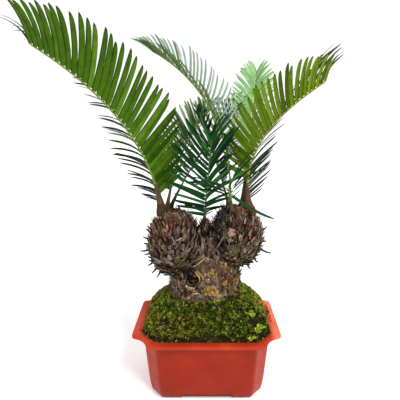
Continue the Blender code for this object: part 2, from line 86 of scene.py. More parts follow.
# Pot, in the source's sizes. Its rows are height, half width, half depth and corner cut
RIM_HALF_X = 0.1034
RIM_HALF_Y = 0.0726
RIM_NOTCH = 0.0240
RIM_TOP = 0.0900
RIM_UNDERSIDE = 0.0846
RIM_LIP = 0.0016
RIM_TUCK = 0.0040
MOUTH_HALF_X = 0.0888
MOUTH_HALF_Y = 0.0618
MOUTH_CUT = 0.0205
POT_OUTSIDE = (
    (0.0000, 0.0752, 0.0582, 0.0150), (0.0008, 0.0760, 0.0590, 0.0151), (0.0040, 0.0780, 0.0608, 0.0158),
    (0.0120, 0.0798, 0.0626, 0.0168), (0.0260, 0.0814, 0.0642, 0.0178), (0.0440, 0.0828, 0.0652, 0.0182),
    (0.0620, 0.0842, 0.0662, 0.0186), (0.0792, 0.0855, 0.0671, 0.0190), (0.0805, 0.0858, 0.0674, 0.0190),
)
POT_INSIDE = ((0.0800, 0.0812, 0.0612, 0.0190), (0.0080, 0.0768, 0.0564, 0.0160))
POT_UNDERSIDE = ((0.0008, 0.0726, 0.0558, 0.0140), (0.0055, 0.0746, 0.0576, 0.0145))
# The mouth's rounded edge: how far each row lies below the rim's top and outside the mouth
MOUTH_EDGE = ((0.0001, 0.0016), (0.0005, 0.0006), (0.0014, 0.0))
BODY_HOLLOW = 0.12
FOOT_HEIGHT = 0.0045
FOOT_GAP_HALF_X = 0.0355
FOOT_GAP_HALF_Y = 0.0220
FOOT_GAP_REACH = 0.2000
FOOT_GAP_ROUNDING = 0.0025
CORNER_POINTS = 17
SIDE_POINTS = 22
# Rounds of smoothing that soften the edges of the pot's parts
BODY_ROUNDS = 5
RIM_ROUNDS = 8
MOUTH_ROUNDS = 6
UNDERSIDE_ROUNDS = 2

# Plastic: where its tones change, from none to all, as heights or as x
RIM_TONE_Z = (0.0815, 0.0850)
# Painted highlight: where the paler part of the rim on the pot's right starts and is full, in x
RIM_HIGHLIGHT_X = (0.0880, 0.0960)
# Painted highlight on the pot's right side below the rim: where it starts and is full, in x and then in height
SIDE_HIGHLIGHT_X = (0.0640, 0.0690)
SIDE_HIGHLIGHT_Z = (0.0840, 0.0800)
# Darker towards the foot: the height where it is strongest and the height where it ends
DARK_FOOT_Z = (0.0, 0.013)
# Painted shade between the feet near the floor: the heights where it ends and where it is full, and its soft edge in
# x
FEET_SHADE_Z = (0.0078, 0.0052)
FEET_SHADE_EDGE = 0.002

# Moss: the mound's rule from the source, and how far it climbs the trunk. Lumps are per metre and height
MOUND_EDGE = RIM_TOP - 0.0007
MOUND_HEIGHT = 0.0447
MOUND_BELOW = ((0.90, 0.0500), (0.985, MOUND_EDGE - 0.0060))
MOUND_COLUMNS = 220
MOUND_LUMPS = ((42.0, 0.0040), (130.0, 0.0022), (420.0, 0.0009))
MOUTH_GAP = 0.0008
MOSS_LINE = 0.1435
MOSS_LINE_TILT = 0.0050
MOSS_LINE_DIP = 0.0055
MOSS_FILLET = 0.0060
MOSS_PIECES = 2
TUFTS = 7800
TUFT_BLADES = 6
BLADE_LENGTH = 0.0030
BLADE_RADIUS = 0.00062
EDGE_TUFTS = 0.34
MOSS_TONES = {"moss_0": (22, 32, 10), "moss_1": (62, 84, 20), "moss_2": (108, 128, 28),
              "moss_3": (176, 186, 66), "moss_4": (134, 102, 40), "moss_5": (204, 190, 128)}
# Shares of the moss tones, the last area that holds a tuft: yellower at both ends, browner at the back left
# and along the front's left half. Each has its range of x and of y, and its least share of the mound's radius
EVERYWHERE = (-1, 1)
MOSS_AREAS = (
    (EVERYWHERE, EVERYWHERE, 0.0, (0.30, 0.34, 0.22, 0.10, 0.01, 0.03)),
    ((-1, -0.035), EVERYWHERE, 0.0, (0.14, 0.30, 0.34, 0.17, 0.03, 0.02)),
    ((-1, -0.048), (-0.006, 1), 0.0, (0.12, 0.16, 0.16, 0.12, 0.40, 0.04)),
    ((0.045, 1), (-0.03, 1), 0.0, (0.12, 0.26, 0.34, 0.18, 0.08, 0.02)),
    ((0.066, 1), (-0.03, 1), 0.0, (0.12, 0.14, 0.20, 0.20, 0.30, 0.04)),
    ((-1, 0.0), (-1, -0.02), 0.80, (0.16, 0.24, 0.20, 0.12, 0.24, 0.04)),
)
CLUMPS_PER_METRE = 240.0
CLUMP_EDGE = 0.12
HOLLOW_SHARES = (3.0, 1, 0.35, 0.15, 1, 0.3)
CREST_SHARES = (0.3, 1, 1.8, 2.4, 1, 1)
SOIL_STRIP = 0.9935
SOIL_WAVER = 0.012
SOIL_CORNER = Vector((0.069, -0.048, 0))
SOIL_CORNER_RADIUS = 0.010

# Seedlings: where they stand on the moss, and how many leaves each has. Crumbs lie along the rim's right side
SEEDLINGS = ((0.0618, -0.0449, 9), (0.0600, -0.0430, 6), (0.0708, -0.0524, 9), (0.0672, -0.0566, 8),
             (0.0730, -0.0500, 5), (0.0598, -0.0607, 9))
SEEDLING_LEAF = 0.0017
SEEDLING_THICKNESS = 0.00012
SEEDLING_CORNERS = (0, 1.05, 2.09, 3.14, 4.19, 5.24)
STRAWS = 90
CRUMBS = 260
CRUMBS_RIGHT = 0.55
CRUMB_SIDES = (-math.pi / 2, -math.pi / 2, 0, math.pi, math.pi / 2)

# Bark: each tone as a display colour, and the paler tone that a scale's tip may take
BARK_TONES = {
    "dark": ((38, 29, 24), "brown"), "brown": ((92, 70, 54), "tan"), "tan": ((142, 124, 103), "straw"),
    "rust": ((108, 62, 42), "tan"), "purple": ((112, 99, 94), "tan"), "olive": ((92, 84, 60), "tan"),
    "straw": ((178, 158, 124), "straw"), "amber": ((143, 111, 55), "straw"), "black": ((20, 18, 17), "slate"),
    "slate": ((56, 57, 54), "olive"), "moss_olive": ((88, 84, 54), "olive"),
    "pink": ((160, 124, 116), "pink"),
}
# A scale: width along its length, and a keeled section in half widths and thicknesses
POINTED_FLAKE = ((0.0, 0.80), (0.22, 1.0), (0.5, 0.88), (0.75, 0.58), (0.92, 0.26), (1.0, 0.05))
BLUNT_FLAKE = ((0.0, 0.80), (0.22, 1.0), (0.5, 0.96), (0.75, 0.80), (0.92, 0.60), (1.0, 0.40))
FLAKE_SECTION = ((1, 0), (0.45, 0.55), (0, 0.8), (-0.45, 0.55), (-1, 0), (0, -0.35))
FLAKE_TWIST = 0.25
PALE_TIPPED_FLAKES = 0.45
FIBRE_STEPS = 4
THREAD_CORNERS = (0, 1.257, 2.513, 3.770, 5.027)

# Trunk: rows of height, half width, half depth and centre
TRUNK_RINGS = (
    (0.1343, 0.0535, 0.0455, -0.003, -0.001),
    (0.1400, 0.0520, 0.0445, -0.003, -0.001),
    (0.1470, 0.0505, 0.0435, -0.003, -0.002),
    (0.1550, 0.0505, 0.0430, -0.002, -0.002),
    (0.1630, 0.0500, 0.0425, -0.001, -0.003),
    (0.1710, 0.0470, 0.0405, 0.000, -0.004),
    (0.1790, 0.0410, 0.0370, 0.001, -0.004),
    (0.1870, 0.0335, 0.0325, 0.002, -0.005),
    (0.1950, 0.0255, 0.0275, 0.002, -0.006),
    (0.2030, 0.0175, 0.0220, 0.001, -0.007),
    (0.2110, 0.0115, 0.0165, 0.000, -0.008),
    (0.2200, 0.0080, 0.0110, -0.001, -0.009),
)
TRUNK_COLUMNS = 150
TRUNK_ROWS = 84
TRUNK_LUMPS = ((55.0, 0.0024),)
TRUNK_RIDGES = (190, 90, 0.0016)
TRUNK_GRAIN = ((520.0, 0.0007),)
TRUNK_SHRINK = 0.0014
TRUNK_FLAKES = 760
TRUNK_FLAKES_FOOT = 0.136
TRUNK_FLAKES_SPAN = 0.078
TRUNK_FIBRES = 420
CAVITY_CENTRE = Vector((-0.020, -0.046, 0.168))
CAVITY_RADIUS = 0.014
CAVITY_DEPTH = 0.016
CAVITY_FLAPS = 56
# Amber lumps on the trunk's front: turn in degrees, height and size
AMBER_LUMPS = ((-84, 0.1590, 0.0064), (-78, 0.1560, 0.0056), (-88, 0.1555, 0.0044), (-81, 0.1800, 0.0034),
               (-78, 0.1745, 0.0034), (-62, 0.1660, 0.0034), (-52, 0.1590, 0.0030), (-40, 0.1640, 0.0030))
LUMP_BLOBS = 9
LUMP_LIFT = 0.0036
# Thin roots and torn strips on the trunk's front: places, radius and tone
ROOTS = (
    (((0.0225, -0.0350, 0.2275), (0.0165, -0.0385, 0.2187), (0.0107, -0.0420, 0.2107),
      (0.0084, -0.0430, 0.2060)), 0.00085, "tan"),
    (((0.0140, -0.0415, 0.2120), (0.0162, -0.0440, 0.2042), (0.0128, -0.0450, 0.1965)), 0.00075, "tan"),
    (((-0.0030, -0.0415, 0.2050), (-0.0105, -0.0435, 0.1995), (-0.0165, -0.0440, 0.1972),
      (-0.0245, -0.0430, 0.1890)), 0.00090, "tan"),
    (((-0.0035, -0.0430, 0.2000), (-0.0120, -0.0455, 0.1930), (-0.0200, -0.0450, 0.1890)), 0.00080, "straw"),
    (((-0.0135, -0.0480, 0.1850), (-0.0065, -0.0500, 0.1790), (-0.0050, -0.0505, 0.1720),
      (-0.0095, -0.0495, 0.1625)), 0.00210, "amber"),
    (((-0.0145, -0.0485, 0.1840), (-0.0100, -0.0500, 0.1780), (-0.0090, -0.0500, 0.1700)), 0.00150, "straw"),
    (((-0.0310, -0.0470, 0.1705), (-0.0285, -0.0490, 0.1665), (-0.0230, -0.0500, 0.1630),
      (-0.0160, -0.0500, 0.1615)), 0.00190, "straw"),
    (((-0.0300, -0.0475, 0.1680), (-0.0240, -0.0500, 0.1610), (-0.0150, -0.0500, 0.1590)), 0.00150, "amber"),
    (((0.0080, -0.0485, 0.1720), (0.0100, -0.0500, 0.1790), (0.0085, -0.0490, 0.1840)), 0.00170, "amber"),
    (((-0.0180, -0.0505, 0.1535), (-0.0110, -0.0515, 0.1550), (-0.0060, -0.0515, 0.1515)), 0.00080, "straw"),
)
# Two dry twigs on the left head, and how far in front of the bark a thread's middle lies
TWIGS = (
    (((-0.0310, -0.0412, 0.2290), (-0.0360, -0.0420, 0.2264), (-0.0405, -0.0425, 0.2240),
      (-0.0452, -0.0425, 0.2196)), 0.00075, "straw"),
    (((-0.0451, -0.0412, 0.2300), (-0.0430, -0.0422, 0.2268), (-0.0405, -0.0425, 0.2238)), 0.00070, "straw"),
)
THREAD_LIFT = 0.0034

# Zones of the trunk and the heads, the first that fits: least height in metres or least level, range of the
# cosine of the turn, shares of the tones, width and length of its scales, and how far they stand off
Zone = namedtuple("Zone", "above sides tones width length stand", defaults=(0.0,))
ROUND = (-2, 2)
TRUNK_ZONES = (
    Zone(0.186, ROUND, {"brown": 0.26, "purple": 0.24, "tan": 0.18, "dark": 0.26, "rust": 0.06},
         0.0042, 0.0140),
    Zone(0, (-2, -0.40), {"olive": 0.40, "brown": 0.20, "tan": 0.14, "dark": 0.26}, 0.0062, 0.0150),
    Zone(0, (0.45, 2), {"brown": 0.22, "moss_olive": 0.26, "rust": 0.10, "dark": 0.16, "amber": 0.16,
                        "tan": 0.12}, 0.0042, 0.0120),
    Zone(0.160, ROUND, {"purple": 0.44, "tan": 0.28, "brown": 0.12, "dark": 0.12, "moss_olive": 0.04},
         0.0062, 0.0100),
    Zone(0, ROUND, {"brown": 0.16, "tan": 0.24, "purple": 0.24, "olive": 0.14, "amber": 0.06, "dark": 0.16},
         0.0066, 0.0090),
)
LEFT_ZONES = (
    Zone(0.50, (0.3, 2), {"brown": 0.34, "purple": 0.26, "tan": 0.12, "dark": 0.14, "rust": 0.14},
         0.0032, 0.0110, 0.42),
    Zone(0.50, ROUND, {"rust": 0.44, "brown": 0.26, "tan": 0.08, "dark": 0.12, "straw": 0.10},
         0.0032, 0.0110, 0.42),
    Zone(0.10, (-0.1, 2), {"brown": 0.24, "purple": 0.42, "tan": 0.20, "dark": 0.10, "olive": 0.04},
         0.0042, 0.0115, 0.28),
    Zone(0.10, ROUND, {"rust": 0.32, "brown": 0.34, "tan": 0.12, "dark": 0.16, "straw": 0.06},
         0.0042, 0.0115, 0.28),
    Zone(-0.30, ROUND, {"purple": 0.26, "olive": 0.26, "brown": 0.18, "tan": 0.18, "dark": 0.12},
         0.0060, 0.0125, 0.22),
    Zone(-2, ROUND, {"olive": 0.46, "brown": 0.18, "purple": 0.08, "tan": 0.16, "dark": 0.12},
         0.0082, 0.0150, 0.20),
)
# The right head's left side is painted blacker, as painted shade on the side away from the key light, and its scales
# there are smoother
RIGHT_ZONES = (
    Zone(-0.35, (-2, -0.42), {"black": 0.24, "slate": 0.40, "dark": 0.20, "moss_olive": 0.08, "purple": 0.08},
         0.0058, 0.0150, 0.16),
    Zone(0.45, ROUND, {"brown": 0.32, "rust": 0.32, "tan": 0.10, "dark": 0.16, "straw": 0.10},
         0.0032, 0.0110, 0.38),
    Zone(-0.05, ROUND, {"tan": 0.30, "brown": 0.28, "rust": 0.10, "dark": 0.12, "olive": 0.20},
         0.0044, 0.0100, 0.26),
    Zone(-2, ROUND, {"olive": 0.42, "moss_olive": 0.12, "brown": 0.20, "tan": 0.18, "dark": 0.08},
         0.0060, 0.0110, 0.20),
)
# Tones of the other small pieces of bark
LUMP_FLAKES = {"amber": 0.46, "tan": 0.16, "moss_olive": 0.18, "rust": 0.20}
LUMP_FIBRES = {"amber": 0.8, "straw": 0.2}
LUMP_TONES = {"amber": 0.60, "tan": 0.12, "moss_olive": 0.12, "rust": 0.10, "brown": 0.06}
TRUNK_FIBRE_TONES = {"tan": 0.34, "straw": 0.12, "brown": 0.24, "dark": 0.20, "purple": 0.10}
CAVITY_CHIPS = {"dark": 0.4, "brown": 0.3, "rust": 0.2, "tan": 0.1}
CAVITY_BRIGHT = {"amber": 0.34, "straw": 0.10, "tan": 0.26, "brown": 0.30}
CAVITY_DIM = {"dark": 0.5, "brown": 0.3, "purple": 0.2}
HEAD_FIBRE_TONES = {"tan": 0.32, "straw": 0.20, "rust": 0.24, "brown": 0.24}
PRICKLE_TONES = {"dark": 0.5, "black": 0.3, "brown": 0.2}
SHOOT_TONES = {"dark": 0.36, "brown": 0.32, "rust": 0.12, "purple": 0.12, "tan": 0.08}

# Heads and shoot: centre and half sizes
Egg = namedtuple("Egg", "centre half")
LEFT = Egg(Vector((-0.0450, -0.003, 0.2075)), Vector((0.0380, 0.0370, 0.0485)))
RIGHT = Egg(Vector((0.0425, -0.003, 0.2170)), Vector((0.0380, 0.0355, 0.0445)))
SHOOT = Egg(Vector((-0.002, -0.009, 0.2325)), Vector((0.0085, 0.0085, 0.0120)))
CORE_LUMPS = ((120.0, 0.0016), (420.0, 0.0008))
HEAD_SHRINK = 0.0036
SHOOT_SHRINK = 0.0010
HEAD_FIBRES = 420
HEAD_FRINGE = 120
HEAD_PRICKLES = 46
SHOOT_SCALES = 90
# Spots without scales: centre, and half sizes across and up
Spot = namedtuple("Spot", "centre half_x half_z")
TORN_PATCH = Spot(Vector((-0.0445, -0.0385, 0.2120)), 0.0135, 0.0085)
CUT_SCAR = Spot(Vector((0.0335, -0.0365, 0.2335)), 0.0060, 0.0065)
SCAR_RIM = Spot(CUT_SCAR.centre + Vector((0, 0.0015, 0)), 0.0085, 0.0090)
SMOOTH_BUMP = Spot(Vector((0.0362, -0.0360, 0.2100)), 0.0072, 0.0075)
CAVITY_SPOT = Spot(CAVITY_CENTRE + Vector((0.0010, 0.0040, 0.0040)), 0.0080, 0.0100)
# Tips of the long dark spikes that stand out of the heads' sides, and their radius
LEFT_SPIKES = ((-0.0835, -0.0030, 0.2332), (-0.0895, -0.0060, 0.2184), (-0.0900, -0.0030, 0.2080),
               (-0.0950, -0.0030, 0.1959), (-0.0905, 0.0040, 0.1880), (-0.0847, -0.0050, 0.1744),
               (-0.0793, -0.0030, 0.1620), (-0.0722, -0.0030, 0.1557), (-0.0870, 0.0060, 0.2260))
RIGHT_SPIKES = ((0.0781, -0.0030, 0.2391), (0.0854, -0.0030, 0.2318), (0.0847, -0.0060, 0.2125),
                (0.0926, -0.0030, 0.1928), (0.0631, -0.0030, 0.1682), (0.0744, -0.0040, 0.1791),
                (0.0830, 0.0050, 0.2010), (0.0150, -0.0100, 0.2560), (0.0240, -0.0100, 0.2640))
SPIKE_RADIUS = 0.00210

# Display colours of a frond's leaflets, rib and stalk, the shade tone being a darker colour painted as shade, and
# the row of it that lies in its own shade: its side, its leaflets' width and their length along the rib, how far
# they lean, the share of them missing, and how much they sag
Tones = namedtuple("Tones", "body light dark base tip rib stalk foot shade")
Shaded = namedtuple("Shaded", "side width lengths lean missing sag")
EVEN = ((0.0, 1.0), (1.0, 1.0))

# Fronds, by the source's rule. aim: azimuth and elevation in degrees at the stalk and the tip; bend: 1 bends
# evenly and more bends early; roll: turn about its own rib, and opening: half the angle between its rows, at
# the stalk and the tip; lean: angle from the rib to a leaflet at the stalk, half way and the tip; leaf and
# width: its longest leaflet; bare: share of the rib without leaflets. Finer than the source: stalk: share of
# the rib with the stalk's tone; fullness: how much wider leaflets are at the stalk and the tip; lit_from:
# where the row in the light starts; swell: how much thicker its foot is; twist: turn of each leaflet about
# itself; untidy: how much more than usual they stray
Frond = namedtuple("Frond", "name base aim_start aim_end length bend roll opening lean leaf width pairs bare "
                   "stalk tones fullness shaded lit_from swell rib_width twist untidy",
                   defaults=((1.0, 1.0), None, 0.0, 0.0, 1.0, 0.0, 1.0))
FRONDS = (
    Frond("frond_left_front", (-0.0620, -0.0050, 0.2560), (218, 81), (218, 29), 0.253, 1.15,
          (60, 4), (50, 48), (76, 63, 42), 0.077, 0.0060, 42, 0.05, 0.17,
          Tones((64, 100, 12), (84, 122, 24), (42, 76, 8), (150, 176, 78), (58, 60, 12),
                (112, 126, 32), (80, 62, 34), (66, 48, 28), (26, 44, 22)),
          (1.30, 1.04), Shaded(1, 0.74, ((0.0, 0.90), (1.0, 1.0)), 1.0, 0.12, 1.5), 0.05, 1.05),
    Frond("frond_right_front", (0.0600, -0.0080, 0.2595), (326, 109), (328, 33), 0.199, 1.68,
          (-62, 5), (50, 35), (84, 60, 40), 0.059, 0.0060, 36, 0.07, 0.20,
          Tones((98, 124, 14), (118, 144, 26), (72, 96, 10), (186, 198, 104), (70, 74, 14),
                (124, 136, 34), (86, 60, 34), (104, 52, 30), (32, 50, 30)),
          (1.10, 0.86),
          Shaded(-1, 0.66, ((0.0, 1.35), (0.5, 1.15), (0.60, 1.70), (0.84, 1.66), (1.0, 0.90)),
                 0.8, 0.10, 0.7),
          0.13, 0.85),
    Frond("frond_left_back", (-0.0560, 0.0060, 0.2570), (62, 73), (60, 27), 0.192, 1.21,
          (0, 0), (46, 46), (76, 50, 26), 0.060, 0.0044, 33, 0.14, 0.16,
          Tones((98, 130, 76), (134, 164, 112), (62, 92, 44), (150, 178, 106), (52, 66, 32),
                (88, 104, 44), (92, 82, 44), (92, 74, 42), (60, 84, 44)),
          (1.05, 1.05)),
    Frond("frond_long_back", (0.0315, 0.0060, 0.2560), (149, 98), (164, 28), 0.262, 1.05,
          (-10, -26), (50, 46), (70, 42, 16), 0.056, 0.0036, 36, 0.28, 0.28,
          Tones((150, 172, 150), (184, 200, 184), (104, 130, 98), (160, 180, 120), (96, 112, 84),
                (128, 156, 34), (104, 122, 34), (84, 76, 40), (80, 112, 34)),
          (0.85, 0.85), Shaded(-1, 1.5, EVEN, 1.0, 0.0, 0.5)),
    Frond("frond_middle", (-0.0034, -0.0120, 0.2400), (291, 78), (291, 76), 0.117, 1.0,
          (0, 0), (62, 62), (90, 50, 24), 0.066, 0.0054, 21, 0.10, 0.34,
          Tones((16, 66, 22), (40, 98, 40), (6, 34, 14), (84, 122, 50), (16, 36, 14),
                (58, 92, 30), (50, 58, 28), (44, 36, 24), (14, 40, 18)),
          rib_width=0.9, untidy=2.6),
    Frond("frond_right_back", (0.0528, 0.0120, 0.2560), (76, 66), (76, 50), 0.236, 1.0,
          (0, 0), (62, 60), (64, 48, 26), 0.053, 0.0048, 28, 0.36, 0.40,
          Tones((142, 186, 122), (164, 204, 144), (114, 160, 94), (190, 214, 136), (84, 116, 70),
                (222, 242, 132), (74, 54, 32), (66, 46, 28), (128, 172, 108)),
          (1.25, 1.3), rib_width=1.9),
    Frond("frond_left_inner", (-0.0520, 0.0140, 0.2560), (38, 60), (45, 38), 0.212, 1.77,
          (0, 0), (58, 58), (76, 54, 26), 0.052, 0.0046, 26, 0.20, 0.20,
          Tones((80, 112, 66), (114, 146, 98), (46, 76, 38), (144, 168, 98), (44, 56, 30),
                (70, 92, 38), (40, 56, 26), (52, 44, 28), (60, 92, 50)),
          (1.1, 1.1), untidy=1.6),
    Frond("frond_right_inner", (0.0330, 0.0160, 0.2560), (140, 72), (120, 50), 0.154, 1.0,
          (0, 0), (40, 40), (70, 48, 24), 0.032, 0.0040, 22, 0.24, 0.24,
          Tones((30, 48, 28), (48, 70, 40), (14, 26, 12), (84, 104, 54), (18, 26, 14),
                (60, 78, 32), (38, 42, 22), (36, 30, 18), (20, 34, 18)),
          untidy=2.2),
    Frond("frond_toward_front", (0.0365, -0.0200, 0.2535), (258, 52), (262, 12), 0.098, 1.0,
          (20, 20), (62, 62), (84, 62, 40), 0.060, 0.0034, 10, 0.40, 0.40,
          Tones((30, 78, 34), (66, 112, 66), (12, 44, 20), (120, 150, 92), (20, 42, 20),
                (92, 126, 56), (80, 82, 42), (56, 44, 26), (20, 56, 28)),
          twist=math.radians(-40), untidy=2.0),
)
# One leaflet hangs across the right head: its frond, its share of the rib, its tip, and its bow and width
STRAY_FROND = "frond_toward_front"
STRAY_SHARE = 0.62
STRAY_TIP = Vector((0.0865, -0.0490, 0.2560))
STRAY_BOW = -0.0035
STRAY_WIDTH = 0.0050
# Ribs
RIB_STEPS = 44
RIB_SIDES = 14
RIB_FLATNESS = 0.88
RIB_GROOVE = 0.26
RIB_TAPER = 0.20
SOCKET_DEPTH = 0.0060
PETIOLE_RADIUS = 0.0031
RACHIS_RADIUS = 0.0012
RACHIS_TIP_RADIUS = 0.0008
FOOT_LENGTH = 0.012
SWELL_SHARE = 0.24
# Leaflets: longest ones along the rib on most fronds and on the two in front, and how they crowd along it
LEAF_PROFILE = ((0.0, 0.28), (0.08, 0.60), (0.3, 0.96), (0.6, 0.98), (0.8, 0.89), (0.92, 0.76), (1.0, 0.62))
FRONT_PROFILE = ((0.0, 0.40), (0.08, 0.74), (0.3, 0.98)) + LEAF_PROFILE[3:]
LEAF_CROWDING = (0.42, 1.28, -0.70)
LEAF_OVERLAP = 0.0010
LEAF_CURL = math.radians(18)
LEAF_DROOP = math.radians(44)
LEAF_HOOK = math.radians(12)
LEAF_HOOK_FROM = 0.78
# A leaflet's width along its length, its section in half widths (grooved above, keeled below), and the faces
# along its edge, which are painted dark as the shadow that the overlapping leaflet casts
LEAF_OUTLINE = ((0.0, 0.50), (0.02, 0.74), (0.06, 0.97), (0.16, 1.06), (0.32, 1.04), (0.5, 1.0), (0.68, 0.95),
                (0.80, 0.87), (0.88, 0.73), (0.94, 0.52), (0.98, 0.27), (1.0, 0.05))
LEAF_SECTION = ((-1.0, -0.07), (-0.5, 0.05), (0.0, -0.04), (0.6, 0.05), (1.0, -0.07),
                (0.6, -0.10), (0.0, -0.25), (-0.5, -0.10))
SHADOWED_EDGE_FACES = (3, 4)
LEAF_TONES = {"body": 0.66, "light": 0.24, "dark": 0.10}
BASE_END = 0.05
STRAY_BASE_END = 0.08
TIP_START = 0.95
SHADED_TONE = 0.9


def linear(value):
    """One display channel from 0 to 255 as linear light."""
    share = value / 255
    return share / 12.92 if share <= 0.04045 else ((share + 0.055) / 1.055) ** 2.4


def colour(red, green, blue):
    return linear(red), linear(green), linear(blue), 1.0


def scaled(tone, factor):
    return tuple(min(1.0, channel * factor) for channel in tone[:3]) + (1.0,)


class Surface:
    """A Principled material whose colour, roughness and relief come from procedural nodes."""

    def __init__(self, name, roughness, gloss):
        self.material = bpy.data.materials.new(name)
        self.material.use_nodes = True
        self.nodes = self.material.node_tree.nodes
        self.links = self.material.node_tree.links
        self.shader = self.nodes["Principled BSDF"]
        self.shader.inputs["Roughness"].default_value = roughness
        self.shader.inputs["Specular IOR Level"].default_value = gloss
        self.place = self.nodes.new("ShaderNodeTexCoord").outputs["Object"]

    def noise(self, per_metre, detail=3.0, stretch=(1, 1, 1)):
        mapping = self.nodes.new("ShaderNodeMapping")
        mapping.inputs["Scale"].default_value = stretch
        texture = self.nodes.new("ShaderNodeTexNoise")
        texture.inputs["Scale"].default_value = per_metre
        texture.inputs["Detail"].default_value = detail
        self.links.new(self.place, mapping.inputs["Vector"])
        self.links.new(mapping.outputs["Vector"], texture.inputs["Vector"])
        return texture.outputs["Fac"]

    def reach(self, axis, low, high):
        """0 below the lower place on an axis and 1 above the upper one."""
        split = self.nodes.new("ShaderNodeSeparateXYZ")
        self.links.new(self.place, split.inputs[0])
        return self.spread(split.outputs[axis], low, high, 0.0, 1.0)

    def spread(self, value, low, high, to_low, to_high):
        remap = self.nodes.new("ShaderNodeMapRange")
        remap.inputs["From Min"].default_value = low
        remap.inputs["From Max"].default_value = high
        remap.inputs["To Min"].default_value = to_low
        remap.inputs["To Max"].default_value = to_high
        self.links.new(value, remap.inputs["Value"])
        return remap.outputs["Result"]

    def product(self, first, second):
        made = self.nodes.new("ShaderNodeMath")
        made.operation = "MULTIPLY"
        self.links.new(first, made.inputs[0])
        self.links.new(second, made.inputs[1])
        return made.outputs[0]

    def ramp(self, value, *stops):
        made = self.nodes.new("ShaderNodeValToRGB")
        marks = made.color_ramp.elements
        while len(marks) < len(stops):
            marks.new(0.5)
        for mark, (position, tone) in zip(marks, stops):
            mark.position = position
            mark.color = tone
        self.links.new(value, made.inputs["Fac"])
        return made.outputs["Color"]

    def tones(self, value, *stops):
        """A ramp whose stops are a position and a display colour."""
        return self.ramp(value, *((position, colour(*tone)) for position, *tone in stops))

    def mix_colours(self, factor, first, second):
        """Mixes two colours, each a plain colour or a colour output."""
        made = self.nodes.new("ShaderNodeMix")
        made.data_type = "RGBA"
        self.links.new(factor, made.inputs[0])
        for value, index in ((first, 6), (second, 7)):
            if isinstance(value, tuple):
                made.inputs[index].default_value = value
            else:
                self.links.new(value, made.inputs[index])
        return made.outputs[2]

    def paint(self, tone):
        self.links.new(tone, self.shader.inputs["Base Color"])

    def shine(self, value, smoothest, roughest):
        self.links.new(self.spread(value, 0.3, 0.7, smoothest, roughest), self.shader.inputs["Roughness"])

    def relief(self, *layers):
        """Adds bumps one over the other, each as a height value and its depth in metres."""
        below = None
        for value, depth in layers:
            bump = self.nodes.new("ShaderNodeBump")
            bump.inputs["Strength"].default_value = 1.0
            bump.inputs["Distance"].default_value = depth
            self.links.new(value, bump.inputs["Height"])
            if below:
                self.links.new(below, bump.inputs["Normal"])
            below = bump.outputs["Normal"]
        self.links.new(below, self.shader.inputs["Normal"])


def plastic_surface():
    """Brick red: paler on the rim, with a painted highlight on the rim's right and on the right side below it,
    darker at the foot, with painted shade between the feet.
    """
    look = Surface("pot_plastic", 0.38, 0.10)
    clouds = look.noise(26, 4)

    def across(low, high):
        return look.reach("X", POT_CENTRE.x + low, POT_CENTRE.x + high)

    body = look.tones(clouds, (0.32, 140, 36, 17), (0.52, 151, 40, 20), (0.74, 161, 46, 24))
    rim = look.tones(clouds, (0.32, 170, 50, 25), (0.55, 186, 56, 29), (0.75, 200, 70, 38))
    # Painted highlight: the rim is painted paler towards the pot's right, where the light comes from
    painted_rim_highlight = look.tones(clouds, (0.35, 232, 96, 62), (0.60, 246, 124, 90))
    rim = look.mix_colours(across(*RIM_HIGHLIGHT_X), rim, painted_rim_highlight)
    tone = look.mix_colours(look.reach("Z", *RIM_TONE_Z), body, rim)
    # Darker towards the foot, most at the floor and gone 13 mm up
    darker_foot = look.tones(look.noise(120, 5), (0.45, 84, 22, 13), (0.62, 136, 38, 22))
    tone = look.mix_colours(look.spread(look.reach("Z", *DARK_FOOT_Z), 0, 1, 0.60, 0.0), tone, darker_foot)
    # Painted highlight: the right side below the rim is painted paler, as lit from the right
    pale = look.tones(clouds, (0.35, 154, 46, 27), (0.65, 170, 60, 40))
    tone = look.mix_colours(look.product(across(*SIDE_HIGHLIGHT_X), look.reach("Z", *SIDE_HIGHLIGHT_Z)), tone, pale)
    # Painted shade: the wall between the feet is painted dark close to the floor, where the recess lies in shade
    between_feet = look.product(across(-FOOT_GAP_HALF_X - FEET_SHADE_EDGE, -FOOT_GAP_HALF_X),
                                across(FOOT_GAP_HALF_X + FEET_SHADE_EDGE, FOOT_GAP_HALF_X))
    grime = look.product(between_feet, look.reach("Z", *FEET_SHADE_Z))
    tone = look.mix_colours(grime, tone, colour(58, 20, 14))
    specks = look.spread(look.noise(420, 2), 0.735, 0.765, 0.0, 0.75)
    look.paint(look.mix_colours(specks, tone, colour(70, 20, 14)))
    look.shine(look.noise(70, 4), 0.30, 0.46)
    look.relief((look.noise(900, 2), 0.00002), (look.noise(45, 2), 0.0002))
    return look.material


def moss_bed_surface():
    look = Surface("moss_bed", 0.95, 0.1)
    moss = look.tones(look.noise(150, 5), (0.30, 16, 15, 6), (0.48, 36, 42, 12), (0.62, 60, 70, 18),
                      (0.80, 96, 104, 28))
    soil = look.tones(look.noise(260, 5), (0.35, 12, 8, 5), (0.6, 46, 30, 17), (0.8, 84, 58, 34))
    look.paint(look.mix_colours(look.spread(look.noise(38, 3), 0.42, 0.60, 0.15, 0.85), moss, soil))
    look.relief((look.noise(700, 3), 0.0012))
    return look.material


